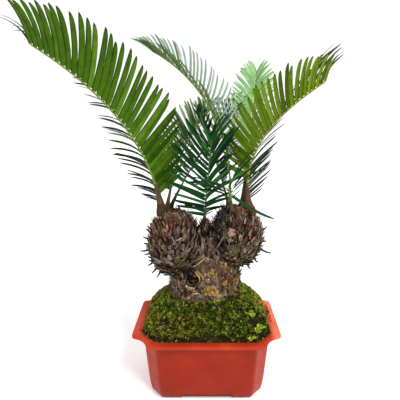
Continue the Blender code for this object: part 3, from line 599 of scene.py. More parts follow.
def mottled_surface(name, tone, roughness, gloss, per_metre=260, contrast=0.45, depth=0.0006,
                    stretch=(1, 1, 1)):
    """Moss, soil and stalks: one plain display colour broken up by darker and lighter grain."""
    look = Surface(name, roughness, gloss)
    plain = colour(*tone)
    grain = look.noise(per_metre, 5, stretch)
    look.paint(look.ramp(grain, (0.30, scaled(plain, 1 - contrast)), (0.50, plain),
                         (0.72, scaled(plain, 1 + contrast))))
    look.shine(look.noise(per_metre * 0.6, 3), max(0.0, roughness - 0.12), min(1.0, roughness + 0.1))
    look.relief((grain, depth), (look.noise(per_metre * 5, 2), depth * 0.3))
    return look.material


def bark_surface(name, tone):
    look = Surface(name, 0.85, 0.14)
    grain = look.noise(430, 5, (1, 1, 0.45))
    plain = colour(*tone)
    look.paint(look.ramp(grain, (0.30, scaled(plain, 0.28)), (0.44, scaled(plain, 0.80)),
                         (0.56, scaled(plain, 1.20)), (0.70, scaled(plain, 1.85))))
    look.shine(look.noise(240, 3), 0.74, 0.94)
    look.relief((grain, 0.0009), (look.noise(1700, 2), 0.0002))
    return look.material


def leaf_surface(name, tone, roughness=0.52, gloss=0.07):
    look = Surface(name, roughness, gloss)
    plain = colour(*tone)
    patches = look.noise(110, 3)
    look.paint(look.ramp(patches, (0.30, scaled(plain, 0.78)), (0.52, plain), (0.75, scaled(plain, 1.22))))
    look.shine(look.noise(300, 2), roughness - 0.08, roughness + 0.12)
    look.relief((look.noise(1400, 2), 0.00006))
    return look.material


class Gathered:
    """Collects closed shapes into one mesh, with a named material for each face."""

    def __init__(self):
        self.points = []
        self.faces = []
        self.looks = []

    def loft(self, rings, looks):
        """Joins rings of equally many points and closes both ends. looks is one material's name, or a list
        with an entry for each span: a name, or a tuple of names for its faces."""
        first = len(self.points)
        count = len(rings[0])
        spans = [looks] * (len(rings) - 1) if isinstance(looks, str) else looks
        spans = [(names,) * count if isinstance(names, str) else names for names in spans]
        for ring in rings:
            self.points.extend(ring)
        for span, names in enumerate(spans):
            start = first + span * count
            for i in range(count):
                j = (i + 1) % count
                self.faces.append((start + i, start + j, start + count + j, start + count + i))
            self.looks.extend(names)
        self.faces.append(tuple(reversed(range(first, first + count))))
        self.faces.append(tuple(range(len(self.points) - count, len(self.points))))
        self.looks.extend((spans[0][0], spans[-1][0]))

    def cone(self, ring, tip, look):
        """Joins a ring to its tip and closes its base."""
        first = len(self.points)
        count = len(ring)
        self.points.extend([*ring, tip])
        self.faces.append((first, *range(first + count - 1, first, -1)))
        self.faces.extend((first + i, first + (i + 1) % count, first + count) for i in range(count))
        self.looks.extend([look] * (count + 1))

    def build(self, name, materials, sharp_degrees):
        """Makes the mesh; materials has each material by the name that the faces go by."""
        mesh = bpy.data.meshes.new(name)
        mesh.from_pydata([tuple(point) for point in self.points], [], self.faces)
        order = {look: index for index, look in enumerate(materials)}
        mesh.polygons.foreach_set("material_index", [order[look] for look in self.looks])
        bm = bmesh.new()
        bm.from_mesh(mesh)
        bmesh.ops.recalc_face_normals(bm, faces=bm.faces)
        bm.to_mesh(mesh)
        bm.free()
        mesh.shade_smooth()
        mesh.set_sharp_from_angle(angle=math.radians(sharp_degrees))
        for material in materials.values():
            mesh.materials.append(material)
        return add_object(name, mesh)


def add_object(name, data):
    made = bpy.data.objects.new(name, data)
    bpy.context.scene.collection.objects.link(made)
    return made


def stand_in(piece, slot, *nodes):
    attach(piece, "root")
    if nodes:
        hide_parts(*nodes)


def between(ends, share):
    return ends[0] + (ends[1] - ends[0]) * share


def follow(table, place):
    """Values at a place in a table whose rows start with their place, straight between its rows."""
    for low, high in zip(table, table[1:]):
        if place <= high[0]:
            share = (place - low[0]) / (high[0] - low[0])
            return [between(ends, share) for ends in zip(low[1:], high[1:])]
    return list(table[-1][1:])


def flat_way(turn):
    return Vector((math.cos(turn), math.sin(turn), 0))


def square_to(way, along):
    """The part of a direction that is square to another."""
    return (way - along * way.dot(along)).normalized()


def sideways_pair(along):
    """Two directions square to a third."""
    first = along.cross(UP if abs(along.z) < 0.95 else Vector((0, 1, 0))).normalized()
    return first, first.cross(along).normalized()


def turned(first, second, angle):
    """Two directions square to each other, both turned by an angle from the first to the second."""
    return (first * math.cos(angle) + second * math.sin(angle),
            second * math.cos(angle) - first * math.sin(angle))


def stretched(half, unit):
    return Vector((half.x * unit.x, half.y * unit.y, half.z * unit.z))


def random_way(rng, z=1):
    """A direction with a random length; z: how far it may point up or down."""
    return Vector((rng.gauss(0, 1), rng.gauss(0, 1), rng.gauss(0, z)))


def ring_round(point, first, second, radius, angles):
    """A ring round a point, in the plane of two directions."""
    return [point + (first * math.cos(angle) + second * math.sin(angle)) * radius for angle in angles]


def three_sides(point, along, radius):
    """A three-sided ring round a line."""
    side, across = sideways_pair(along)
    low = point - side * radius * 0.5
    return [point + side * radius, low + across * radius * 0.87, low - across * radius * 0.87]


def unevenness(point, lumps):
    """Noise in layers, each with its lumps per metre and its height."""
    return sum(noise.noise(point * per_metre) * height for per_metre, height in lumps)


# Pot

def pot_ring(row, hollow, rounds):
    """A rectangle whose corners are cut straight (hollow 0) or scooped (hollow 1), its edges rounded."""
    height, half_x, half_y, cut = row
    arcs = []
    for corner_x, corner_y, start in ((1, 1, 270), (-1, 1, 0), (-1, -1, 90), (1, -1, 180)):
        corner = POT_CENTRE + Vector((corner_x * half_x, corner_y * half_y, height))
        first = flat_way(math.radians(start))
        last = flat_way(math.radians(start - 90))
        arc = []
        for i in range(CORNER_POINTS):
            share = i / (CORNER_POINTS - 1)
            scooped = flat_way(math.radians(start - 90 * share))
            arc.append(corner + cut * first.lerp(last, share).lerp(scooped, hollow))
        arcs.append(arc)
    ring = []
    for arc, following in zip(arcs, arcs[1:] + arcs[:1]):
        ring.extend(arc)
        for j in range(1, SIDE_POINTS):
            ring.append(arc[-1].lerp(following[0], 0.5 - 0.5 * math.cos(math.pi * j / SIDE_POINTS)))
    for _ in range(rounds):
        ring = [(ring[i - 1] + ring[i] * 2 + ring[(i + 1) % len(ring)]) / 4 for i in range(len(ring))]
    return ring


def pot_rings():
    """Rings up the outside from the foot to the rim, and down the inside to the floor."""
    rings = [pot_ring(row, BODY_HOLLOW, BODY_ROUNDS) for row in POT_OUTSIDE]
    rim = [(RIM_UNDERSIDE - 0.0005, RIM_TUCK)]
    for middle, turns in ((RIM_UNDERSIDE + RIM_LIP, (-80, -50, -20)), (RIM_TOP - RIM_LIP, (0, 30, 60, 90))):
        for turn in turns:
            rim.append((middle + RIM_LIP * math.sin(math.radians(turn)),
                        RIM_LIP * (1 - math.cos(math.radians(turn)))))
    rings += [pot_ring((height, RIM_HALF_X - inset, RIM_HALF_Y - inset, RIM_NOTCH), 1.0, RIM_ROUNDS)
              for height, inset in rim]
    mouth = [(RIM_TOP - drop, MOUTH_HALF_X + out, MOUTH_HALF_Y + out, MOUTH_CUT) for drop, out in MOUTH_EDGE]
    return rings + [pot_ring(row, 0.0, MOUTH_ROUNDS) for row in (*mouth, *POT_INSIDE)]


def cut_foot_gap(pot, half_x, half_y):
    """Cuts a round-edged box out of the pot's underside, so that feet are left at the corners."""
    bm = bmesh.new()
    size = Matrix.Diagonal((2 * half_x, 2 * half_y, 2 * FOOT_HEIGHT, 1.0))
    bmesh.ops.create_cube(bm, size=1.0, matrix=Matrix.Translation(POT_CENTRE) @ size)
    bmesh.ops.bevel(bm, geom=bm.edges, offset=FOOT_GAP_ROUNDING, segments=4, affect="EDGES", profile=0.5)
    mesh = bpy.data.meshes.new("foot_gap")
    bm.to_mesh(mesh)
    bm.free()
    cutter = add_object("foot_gap", mesh)
    modifier = pot.modifiers.new("foot_gap", "BOOLEAN")
    modifier.object = cutter
    modifier.operation = "DIFFERENCE"
    modifier.solver = "EXACT"
    bpy.context.view_layer.update()
    done = bpy.data.meshes.new_from_object(pot.evaluated_get(bpy.context.evaluated_depsgraph_get()))
    pot.modifiers.clear()
    pot.data = done
    bpy.data.objects.remove(cutter)


def make_pot():
    shape = Gathered()
    shape.loft(pot_rings(), "plastic")
    pot = shape.build("pot_shell", {"plastic": plastic_surface()}, 35)
    cut_foot_gap(pot, FOOT_GAP_HALF_X, FOOT_GAP_REACH)
    cut_foot_gap(pot, FOOT_GAP_REACH, FOOT_GAP_HALF_Y)
    pot.data.set_sharp_from_angle(angle=math.radians(35))
    stand_in(pot, "pot_plastic", "pot")
    # The recessed core between the feet is painted dark as the shade inside the recess
    core = Gathered()
    core.loft([pot_ring(row, 0.0, UNDERSIDE_ROUNDS) for row in POT_UNDERSIDE], "grime")
    grime = mottled_surface("pot_grime", (60, 24, 17), 0.9, 0.05)
    stand_in(core.build("pot_underside", {"grime": grime}, 35), "pot_plastic")


# Moss and soil

def mouth_radius(angle):
    """Distance from the pot's centre to the inner edge of its rim."""
    across = abs(math.cos(angle))
    along = abs(math.sin(angle))
    reaches = [(MOUTH_HALF_X + MOUTH_HALF_Y - 2 * MOUTH_GAP - MOUTH_CUT) / (across + along)]
    for half, part in ((MOUTH_HALF_X, across), (MOUTH_HALF_Y, along)):
        if part > 1e-9:
            reaches.append((half - MOUTH_GAP) / part)
    return min(reaches)


def trunk_foot_radius(angle):
    """Distance from the pot's centre to the trunk where the moss meets it."""
    _, half_x, half_y, centre_x, centre_y = TRUNK_RINGS[1]
    return Vector((centre_x + half_x * math.cos(angle), centre_y + half_y * math.sin(angle), 0)).length


def mound_height(angle, share):
    """Height of the moss at a share of the way from the pot's middle to its mouth."""
    edge = mouth_radius(angle)
    foot = trunk_foot_radius(angle)
    rise = MOUND_HEIGHT * (1 - min(1.0, share) ** 3) ** 0.55
    foot_rise = MOUND_HEIGHT * (1 - (foot / edge) ** 3) ** 0.55
    front = max(0.0, -math.sin(angle))
    line = MOSS_LINE + MOSS_LINE_TILT * math.cos(angle) - MOSS_LINE_DIP * front - MOUND_EDGE
    climb = (line - foot_rise) * math.exp(-abs(share * edge - foot) / MOSS_FILLET)
    return MOUND_EDGE + rise + climb


def mound_point(angle, share):
    radius = mouth_radius(angle) * share
    flat = Vector((radius * math.cos(angle), radius * math.sin(angle), mound_height(angle, share)))
    fade = math.sin(math.pi * min(1.0, share)) ** 0.6
    return POT_CENTRE + flat + UP * (unevenness(flat, MOUND_LUMPS) * fade)


def on_mound(x, y):
    """Angle of a place on the moss, and its share of the way to the pot's mouth."""
    angle = math.atan2(y, x)
    return angle, math.hypot(x, y) / mouth_radius(angle)


def is_soil(angle, share):
    """True where bare dark soil shows: a thin strip at the pot's edge, and its right front corner."""
    point = flat_way(angle) * mouth_radius(angle) * share
    waver = noise.noise(point * 110.0)
    front = max(0.0, -math.sin(angle)) * (1.0 if point.x > -0.035 else 0.4)
    strip = 1.0 > share > SOIL_STRIP - SOIL_WAVER * front + SOIL_WAVER * waver
    corner = (point - SOIL_CORNER).length < SOIL_CORNER_RADIUS + 0.007 * waver
    edge_right = point.x > 0.078 and -0.045 < point.y < 0.004 and waver > -0.15
    return strip or corner or edge_right


def moss_look(angle, share, clump, rng):
    """Tone of a tuft: by its area, and darker between clumps than on them."""
    point = flat_way(angle) * mouth_radius(angle) * share
    chances = [shares for (left, right), (front, back), least, shares in MOSS_AREAS
               if left < point.x < right and front < point.y < back and share > least][-1]
    if abs(clump) > CLUMP_EDGE:
        factors = HOLLOW_SHARES if clump < 0 else CREST_SHARES
        chances = [chance * factor for chance, factor in zip(chances, factors)]
    return rng.choices(list(MOSS_TONES), chances)[0]


def make_moss():
    bed = Gathered()
    angles = [FULL_TURN * i / MOUND_COLUMNS for i in range(MOUND_COLUMNS)]
    rings = [[POT_CENTRE + flat_way(angle) * mouth_radius(angle) * share + UP * height for angle in angles]
             for share, height in MOUND_BELOW]
    for share in [1.0, 0.985, 0.96, 0.93] + [0.90 - 0.02 * i for i in range(34)]:
        rings.append([mound_point(angle, share) for angle in angles])
    bed.loft(rings, "bed")
    stand_in(bed.build("moss_bed", {"bed": moss_bed_surface()}, 80), "moss_soil", "soil_and_moss")

    materials = {name: mottled_surface(name, tone, 0.85, 0.08, 900, 0.45, 0.0003)
                 for name, tone in MOSS_TONES.items()}
    rng = Random(11)
    for piece in range(MOSS_PIECES):
        tufts = Gathered()
        for _ in range(TUFTS):
            add_tuft(tufts, rng)
        stand_in(tufts.build(f"moss_tufts_{piece}", materials, 80), "moss_soil")


def add_tuft(tufts, rng):
    """Blades that lean every way from one root, somewhere on the moss or along its edge."""
    angle = rng.uniform(0, FULL_TURN)
    past_edge = 1.0 + (0.030 if math.cos(angle) > 0 else 0.060) * abs(math.cos(angle)) ** 3
    share = math.sqrt(rng.uniform(0.26, past_edge ** 2))
    if rng.random() < EDGE_TUFTS:
        share = 1.0 - 0.06 * rng.random() ** 1.8
    if is_soil(angle, share) and rng.random() < 0.94:
        return
    root = mound_point(angle, share)
    ahead = mound_point(angle + 0.02, share) - root
    normal = ahead.cross(mound_point(angle, share - 0.02) - root).normalized()
    if normal.z < 0:
        normal = -normal
    clump = noise.noise((root - POT_CENTRE) * CLUMPS_PER_METRE)
    look = moss_look(angle, share, clump, rng)
    size = rng.uniform(0.7, 1.2) * (0.72 if share > 0.99 else 1.0) * (1.0 + 0.7 * clump)
    foot = root - normal * 0.0008
    for _ in range(TUFT_BLADES):
        out = (normal + random_way(rng) * 0.60).normalized()
        tufts.cone(three_sides(foot, out, BLADE_RADIUS * size), foot + out * BLADE_LENGTH * size, look)


def make_litter():
    """Small round-leaved seedlings, crumbs of soil and dry straws."""
    rng = Random(77)
    shape = Gathered()
    for x, y, leaves in SEEDLINGS:
        centre = mound_point(*on_mound(x, y)) + Vector((0, -0.0020, 0.0012))
        for i in range(leaves):
            out = flat_way(math.radians(i * 137.5)) * rng.uniform(0.5, 1.0) + UP * rng.uniform(0.15, 0.9)
            out.normalize()
            side, across = sideways_pair(out)
            tip = centre + out * rng.uniform(0.0024, 0.0050)
            ring = ring_round(tip, out, side, SEEDLING_LEAF, SEEDLING_CORNERS)
            shape.loft([[point + across * SEEDLING_THICKNESS for point in ring],
                        [point - across * SEEDLING_THICKNESS for point in ring]],
                       "light" if rng.random() < 0.7 else "green")
            thread(shape, [centre - UP * 0.003, centre.lerp(tip, 0.6), tip], 0.00022, "green", 2)
    for _ in range(STRAWS):
        root = mound_point(rng.uniform(0, FULL_TURN), rng.uniform(0.55, 0.97)) + UP * 0.0014
        along = random_way(rng, z=0.35).normalized()
        fibre(shape, root, along, rng.uniform(0.004, 0.012), 0.00032, "straw", rng, 0.5)
    for _ in range(CRUMBS):
        if rng.random() < CRUMBS_RIGHT:
            place = Vector((rng.uniform(0.0880, 0.0965), rng.gauss(0.010, 0.014), RIM_TOP + 0.0004))
        else:
            turn = rng.choice(CRUMB_SIDES) + rng.gauss(0, 0.5)
            reach = mouth_radius(turn) * rng.uniform(0.985, 1.03)
            place = Vector((reach * math.cos(turn), reach * math.sin(turn), RIM_TOP + 0.0003))
        size = rng.uniform(0.0004, 0.0011)
        look = "soil" if rng.random() < 0.75 else "straw"
        blob(shape, POT_CENTRE + place, Vector((size, size, size * 0.7)), look, rng, 4, 6)
    materials = {"light": leaf_surface("seedling_light", (196, 206, 66)),
                 "green": leaf_surface("seedling_green", (138, 162, 44)),
                 "soil": mottled_surface("soil_crumbs", (54, 38, 26), 0.95, 0.05, 900, 0.5, 0.0003),
                 "straw": mottled_surface("straws", (150, 124, 82), 0.9, 0.1, 600, 0.35, 0.0002)}
    stand_in(shape.build("litter", materials, 60), "moss_soil")


# Bark, scales and fibres

def pick(chances, rng):
    """One name, from a dictionary of name to weight."""
    return rng.choices(list(chances), list(chances.values()))[0]


def zone_at(zones, turn, level):
    """The first zone that holds a place."""
    side = math.cos(turn)
    return next(zone for zone in zones if level > zone.above and zone.sides[0] < side < zone.sides[1])


def flake(shape, root, along, outward, length, width, look, rng, curl, blunt=False):
    """A stiff scale: a keeled plate that tapers and curls away from what it grows on, its root painted dark
    as the shade between overlapping scales.
    """
    normal = square_to(outward, along)
    side = along.cross(normal).normalized()
    point = root - along * (0.12 * length)
    twist = rng.uniform(-FLAKE_TWIST, FLAKE_TWIST)
    rings = []
    last = 0.0
    for share, wide in BLUNT_FLAKE if blunt else POINTED_FLAKE:
        step, up = turned(along, normal, curl * (share - 0.25))
        point = point + step * (length * (share - last))
        last = share
        across, raised = turned(side, up, twist * share)
        half = 0.5 * width * wide * rng.uniform(0.82, 1.14)
        thick = 0.5 * width * (0.17 + 0.26 * (1 - share))
        rings.append([point + across * (x * half) + raised * (z * thick) for x, z in FLAKE_SECTION])
    # Some scales take the paler tone on their tip's span
    pale_tip = BARK_TONES[look][1] if rng.random() < PALE_TIPPED_FLAKES else look
    # The root's span is painted dark, a painted shade between scales
    shape.loft(rings, ["dark", look, look, look, pale_tip])


def fibre(shape, root, along, length, radius, look, rng, wander=0.35):
    """A thin wandering thread with a three-sided section and a fine tip."""
    rings = []
    point = root.copy()
    for i in range(FIBRE_STEPS + 1):
        rings.append(three_sides(point, along, radius * (1 - 0.85 * i / FIBRE_STEPS)))
        along = (along + random_way(rng) * wander / FIBRE_STEPS).normalized()
        point = point + along * (length / FIBRE_STEPS)
    shape.loft(rings, look)


def thread(shape, points, radius, look, steps=5):
    """A thread through chosen points, as a smooth tube with five sides."""
    fine = []
    for i, (start, end) in enumerate(zip(points, points[1:])):
        before = points[max(0, i - 1)]
        after = points[min(len(points) - 1, i + 2)]
        for j in range(steps):
            t = j / steps
            square = 2 * before - 5 * start + 4 * end - after
            cube = 3 * start - before - 3 * end + after
            fine.append(0.5 * (2 * start + (end - before) * t + square * t * t + cube * t ** 3))
    fine.append(points[-1])
    rings = []
    for i, point in enumerate(fine):
        along = (fine[min(i + 1, len(fine) - 1)] - fine[max(i - 1, 0)]).normalized()
        thin = radius * (1 - 0.6 * i / (len(fine) - 1))
        rings.append(ring_round(point, *sideways_pair(along), thin, THREAD_CORNERS))
    shape.loft(rings, look)


def blob(shape, centre, size, look, rng, rows=7, columns=10):
    """A rough lump: a small uneven ball."""
    rings = []
    for row in range(1, rows):
        tilt = math.pi * row / rows
        ring = []
        for column in range(columns):
            turn = FULL_TURN * column / columns
            out = Vector((math.sin(tilt) * math.cos(turn), math.sin(tilt) * math.sin(turn), -math.cos(tilt)))
            ring.append(centre + stretched(size, out) * rng.uniform(0.8, 1.15))
        rings.append(ring)
    shape.loft(rings, look)


def on_spot(spot, turn, reach, bulge):
    """A place on a spot, which lies deeper towards its edge."""
    across = spot.half_x * reach * math.cos(turn)
    up = spot.half_z * reach * math.sin(turn)
    return POT_CENTRE + spot.centre + Vector((across, 0.0012 + bulge * reach * reach, up))


def chips(shape, spot, count, chances, size, rng):
    """Small rough chips lying over a bare spot."""
    for _ in range(count):
        turn = rng.uniform(0, FULL_TURN)
        place = on_spot(spot, turn, math.sqrt(rng.random()), 0.004)
        along = Vector((rng.gauss(0, 1), -0.5 * rng.random(), rng.gauss(0, 1))).normalized()
        out = Vector((0.2 * math.cos(turn), -1, 0.2 * math.sin(turn)))
        flake(shape, place, along, out, size * rng.uniform(0.6, 1.4), size * rng.uniform(0.4, 0.8),
              pick(chances, rng), rng, rng.uniform(-0.3, 0.5), True)


def pads(shape, spot, look, count, size, rng):
    """A low swelling of overlapping lumps."""
    for i in range(count):
        place = on_spot(spot, i * GOLDEN_ANGLE, 0.75 * math.sqrt(i / count), 0.0030)
        blob(shape, place, Vector((size, size * 0.45, size)) * rng.uniform(0.8, 1.1), look, rng)


def front_of(place):
    """The y of the trunk's or a head's front at one place's x and z, or None."""
    ovals = [follow(TRUNK_RINGS, place.z)]
    for centre, half in (LEFT, RIGHT):
        level = (place.z - centre.z) / half.z
        if abs(level) < 1:
            slim = math.sqrt(1 - level * level)
            ovals.append((half.x * slim, half.y * slim, centre.x, centre.y))
    fronts = [centre_y - half_y * math.sqrt(1 - ((place.x - centre_x) / half_x) ** 2)
              for half_x, half_y, centre_x, centre_y in ovals if abs(place.x - centre_x) < half_x]
    return min(fronts, default=None)


def lay_threads(shape, threads):
    """Threads whose places are moved along the camera's line of sight until they lie on the bark."""
    for places, radius, look in threads:
        path = []
        for place in places:
            for step in range(90):
                on_line = CAMERA_PLACE + (Vector(place) - CAMERA_PLACE) * (1 + 0.001 * step)
                front = front_of(on_line)
                if front is not None and on_line.y > front - THREAD_LIFT:
                    break
            path.append(POT_CENTRE + on_line)
        thread(shape, path, radius, look)


# Heads and shoot

def egg_point(egg, turn, level):
    """Point and outward direction on an egg shape; level runs from -1 at the foot to 1 at the top."""
    flat = math.sqrt(max(0.0, 1 - level * level))
    unit = Vector((flat * math.cos(turn), flat * math.sin(turn), level))
    normal = Vector((unit.x / egg.half.x, unit.y / egg.half.y, unit.z / egg.half.z)).normalized()
    return POT_CENTRE + egg.centre + stretched(egg.half, unit), normal


def egg_core(shape, egg, shrink, columns, rows):
    """A dark lumpy egg under the scales."""
    rings = []
    for row in range(1, rows):
        level = -math.cos(math.pi * row / rows)
        ring = []
        for column in range(columns):
            point, normal = egg_point(egg, FULL_TURN * column / columns, level)
            ring.append(point - normal * (shrink - unevenness(point, CORE_LUMPS)))
        rings.append(ring)
    shape.loft(rings, "dark")


def is_bare(point, bare_spots):
    for spot in bare_spots:
        gap = point - POT_CENTRE - spot.centre
        if gap.y < 0.02 and (gap.x / spot.half_x) ** 2 + (gap.z / spot.half_z) ** 2 < 1:
            return True
    return False


def egg_places(egg, rng, count, levels, bare_spots=()):
    """Random places on an egg between two levels, without those on bare spots: turn, level, point, normal."""
    for _ in range(count):
        level = rng.uniform(*levels)
        turn = rng.uniform(0, FULL_TURN)
        root, normal = egg_point(egg, turn, level)
        if not is_bare(root, bare_spots):
            yield turn, level, root, normal


def make_head(egg, zones, scales, seed, bare_spots):
    """Scales in a spiral round a dark core, with fibres, a fringe of upright scales, and prickles."""
    rng = Random(seed)
    shape = Gathered()
    egg_core(shape, egg, HEAD_SHRINK, 72, 54)
    for i in range(scales):
        level = -0.96 + 1.92 * (1 - (1 - (i + 0.5) / scales) ** 1.35)
        turn = i * GOLDEN_ANGLE + rng.uniform(-0.05, 0.05)
        root, normal = egg_point(egg, turn, level)
        if is_bare(root, bare_spots):
            continue
        zone = zone_at(zones, turn, level)
        upward = square_to(UP, normal)
        lean = zone.stand * rng.uniform(0.5, 1.4)
        swing = upward.cross(normal) * rng.uniform(-0.25, 0.25)
        along = (turned(upward, normal, lean)[0] + swing).normalized()
        flake(shape, root - normal * 0.0030, along, normal, zone.length * rng.uniform(0.75, 1.25),
              zone.width * rng.uniform(0.75, 1.3), pick(zone.tones, rng), rng, rng.uniform(0.0, 0.55),
              rng.random() < 0.5)
    for turn, level, root, normal in egg_places(egg, rng, HEAD_FIBRES, (-0.1, 0.97), bare_spots):
        upward = square_to(UP, normal)
        along = upward + normal * rng.uniform(0.2, 0.8) + upward.cross(normal) * rng.gauss(0, 0.4)
        tone = pick(HEAD_FIBRE_TONES, rng)
        fibre(shape, root + normal * 0.0006, along.normalized(), rng.uniform(0.003, 0.008), 0.0005, tone, rng)
    for turn, level, root, normal in egg_places(egg, rng, HEAD_FRINGE, (0.30, 0.93), bare_spots):
        zone = zone_at(zones, turn, level)
        along = UP * rng.uniform(0.9, 1.6) + normal + UP.cross(normal) * rng.gauss(0, 0.25)
        flake(shape, root - normal * 0.003, along.normalized(), normal, zone.length * rng.uniform(0.8, 1.5),
              0.0026, pick(zone.tones, rng), rng, rng.uniform(-0.3, 0.5))
    for turn, level, root, normal in egg_places(egg, rng, HEAD_PRICKLES, (-0.75, 0.55)):
        upward = square_to(UP, normal)
        along = (upward * rng.uniform(0.5, 1.3) + normal).normalized()
        tone = pick(PRICKLE_TONES, rng)
        flake(shape, root - normal * 0.002, along, upward, rng.uniform(0.008, 0.013), 0.0020, tone, rng, 0.3)
    return shape


def spikes(shape, tips, egg, rng):
    """Thin spikes from inside a head to their tips, bent a little upwards."""
    for tip in map(Vector, tips):
        out = tip - egg.centre
        unit = Vector((out.x / egg.half.x, out.y / egg.half.y, out.z / egg.half.z))
        root = egg.centre + out * (0.86 / unit.length)
        middle = root.lerp(tip, 0.55) - UP * 0.0016
        thread(shape, [POT_CENTRE + point for point in (root, middle, tip)], SPIKE_RADIUS,
               rng.choice(("black", "dark")), 4)


def make_heads(bark):
    left = make_head(LEFT, LEFT_ZONES, 620, 21, [TORN_PATCH])
    rng = Random(31)
    chips(left, TORN_PATCH, 110, {"purple": 0.52, "slate": 0.16, "tan": 0.16, "dark": 0.16}, 0.0042, rng)
    lay_threads(left, TWIGS)
    spikes(left, LEFT_SPIKES, LEFT, rng)
    stand_in(left.build("left_head_scales", bark, 50), "bark", "left_head")
    right = make_head(RIGHT, RIGHT_ZONES, 640, 22, [CUT_SCAR, SMOOTH_BUMP])
    chips(right, SCAR_RIM, 34, {"dark": 0.6, "rust": 0.4}, 0.0036, rng)
    pads(right, CUT_SCAR, "pink", 8, 0.0026, rng)
    chips(right, CUT_SCAR, 24, {"purple": 0.5, "rust": 0.15, "pink": 0.25, "dark": 0.1}, 0.0030, rng)
    pads(right, SMOOTH_BUMP, "moss_olive", 12, 0.0042, rng)
    spikes(right, RIGHT_SPIKES, RIGHT, rng)
    stand_in(right.build("right_head_scales", bark, 50), "bark", "right_head")


def make_shoot(bark):
    rng = Random(8)
    shape = Gathered()
    egg_core(shape, SHOOT, SHOOT_SHRINK, 28, 20)
    for i in range(SHOOT_SCALES):
        level = -0.9 + 1.75 * (i + 0.5) / SHOOT_SCALES
        root, normal = egg_point(SHOOT, i * GOLDEN_ANGLE, level)
        along = (square_to(UP, normal) + normal * rng.uniform(0.15, 0.7)).normalized()
        tone = pick(SHOOT_TONES, rng)
        flake(shape, root - normal * 0.0008, along, normal, rng.uniform(0.006, 0.011), 0.0026, tone, rng, 0.4)
    stand_in(shape.build("shoot_scales", bark, 50), "bark", "middle_shoot")


# Trunk

def trunk_point(turn, height):
    half_x, half_y, centre_x, centre_y = follow(TRUNK_RINGS, height)
    out = flat_way(turn)
    point = Vector((centre_x + half_x * out.x, centre_y + half_y * out.y, height))
    lump = unevenness(point, TRUNK_LUMPS)
    dent = (point - CAVITY_CENTRE).length / CAVITY_RADIUS
    if dent < 1:
        lump -= CAVITY_DEPTH * (1 - dent ** 3)
    return POT_CENTRE + point + out * lump


def trunk_normal(turn, height):
    point = trunk_point(turn, height)
    ahead = trunk_point(turn + 0.05, height) - point
    return ahead.cross(trunk_point(turn, height + 0.002) - point).normalized()


def in_cavity(root, share):
    return (root - POT_CENTRE - CAVITY_CENTRE).length < CAVITY_RADIUS * share


def near_lump(root):
    """True close to one of the yellow lumps on the trunk's front."""
    return any((root - trunk_point(math.radians(degrees), height)).length < size * 1.3
               for degrees, height, size in AMBER_LUMPS)


def trunk_core(shape):
    """The trunk's body with fine upright ridges, a little inside its true size."""
    per_metre, per_metre_up, ridge_height = TRUNK_RIDGES
    low = TRUNK_RINGS[0][0]
    rise = TRUNK_RINGS[-1][0] - low
    rings = []
    for row in range(TRUNK_ROWS):
        height = low + rise * row / (TRUNK_ROWS - 1)
        ring = []
        for i in range(TRUNK_COLUMNS):
            turn = FULL_TURN * i / TRUNK_COLUMNS
            point = trunk_point(turn, height)
            ridge = noise.noise(Vector((point.x * per_metre, point.y * per_metre, point.z * per_metre_up)))
            lift = ridge * ridge_height + unevenness(point, TRUNK_GRAIN) - TRUNK_SHRINK
            ring.append(point + flat_way(turn) * lift)
        rings.append(ring)
    shape.loft(rings, "brown")


def make_trunk(bark):
    """A ridged core under flakes and fibres, with a cavity, amber lumps and roots."""
    rng = Random(5)
    shape = Gathered()
    trunk_core(shape)
    for i in range(TRUNK_FLAKES):
        height = TRUNK_FLAKES_FOOT + TRUNK_FLAKES_SPAN * ((i + 0.5) / TRUNK_FLAKES) ** 0.95
        turn = i * GOLDEN_ANGLE + rng.uniform(-0.1, 0.1)
        root = trunk_point(turn, height)
        if in_cavity(root, 0.80):
            continue
        normal = trunk_normal(turn, height)
        upward = square_to(UP, normal)
        zone = zone_at(TRUNK_ZONES, turn, height)
        swing = upward.cross(normal) * rng.uniform(-0.55, 0.55)
        along = (upward + normal * rng.uniform(0.02, 0.28) + swing).normalized()
        chances = LUMP_FLAKES if near_lump(root + along * (0.45 * zone.length)) else zone.tones
        flake(shape, root - normal * 0.0020, along, normal, zone.length * rng.uniform(0.7, 1.3),
              zone.width * rng.uniform(0.7, 1.35), pick(chances, rng), rng, rng.uniform(-0.1, 0.5),
              rng.random() < 0.7)
    for _ in range(TRUNK_FIBRES):
        height = rng.uniform(0.138, 0.200)
        turn = rng.uniform(0, FULL_TURN)
        root = trunk_point(turn, height)
        if in_cavity(root, 0.9):
            continue
        normal = trunk_normal(turn, height)
        along = Vector((rng.gauss(0, 1), rng.gauss(0, 1), rng.gauss(0.5, 1)))
        along = (along - normal * along.dot(normal) * 0.8).normalized()
        tone = pick(LUMP_FIBRES if near_lump(root) else TRUNK_FIBRE_TONES, rng)
        fibre(shape, root + normal * 0.0004, along, rng.uniform(0.003, 0.008), 0.0006, tone, rng)
    make_cavity(shape, rng)
    make_lumps(shape, rng)
    lay_threads(shape, ROOTS)
    stand_in(shape.build("trunk_bark", bark, 50), "bark", "trunk")


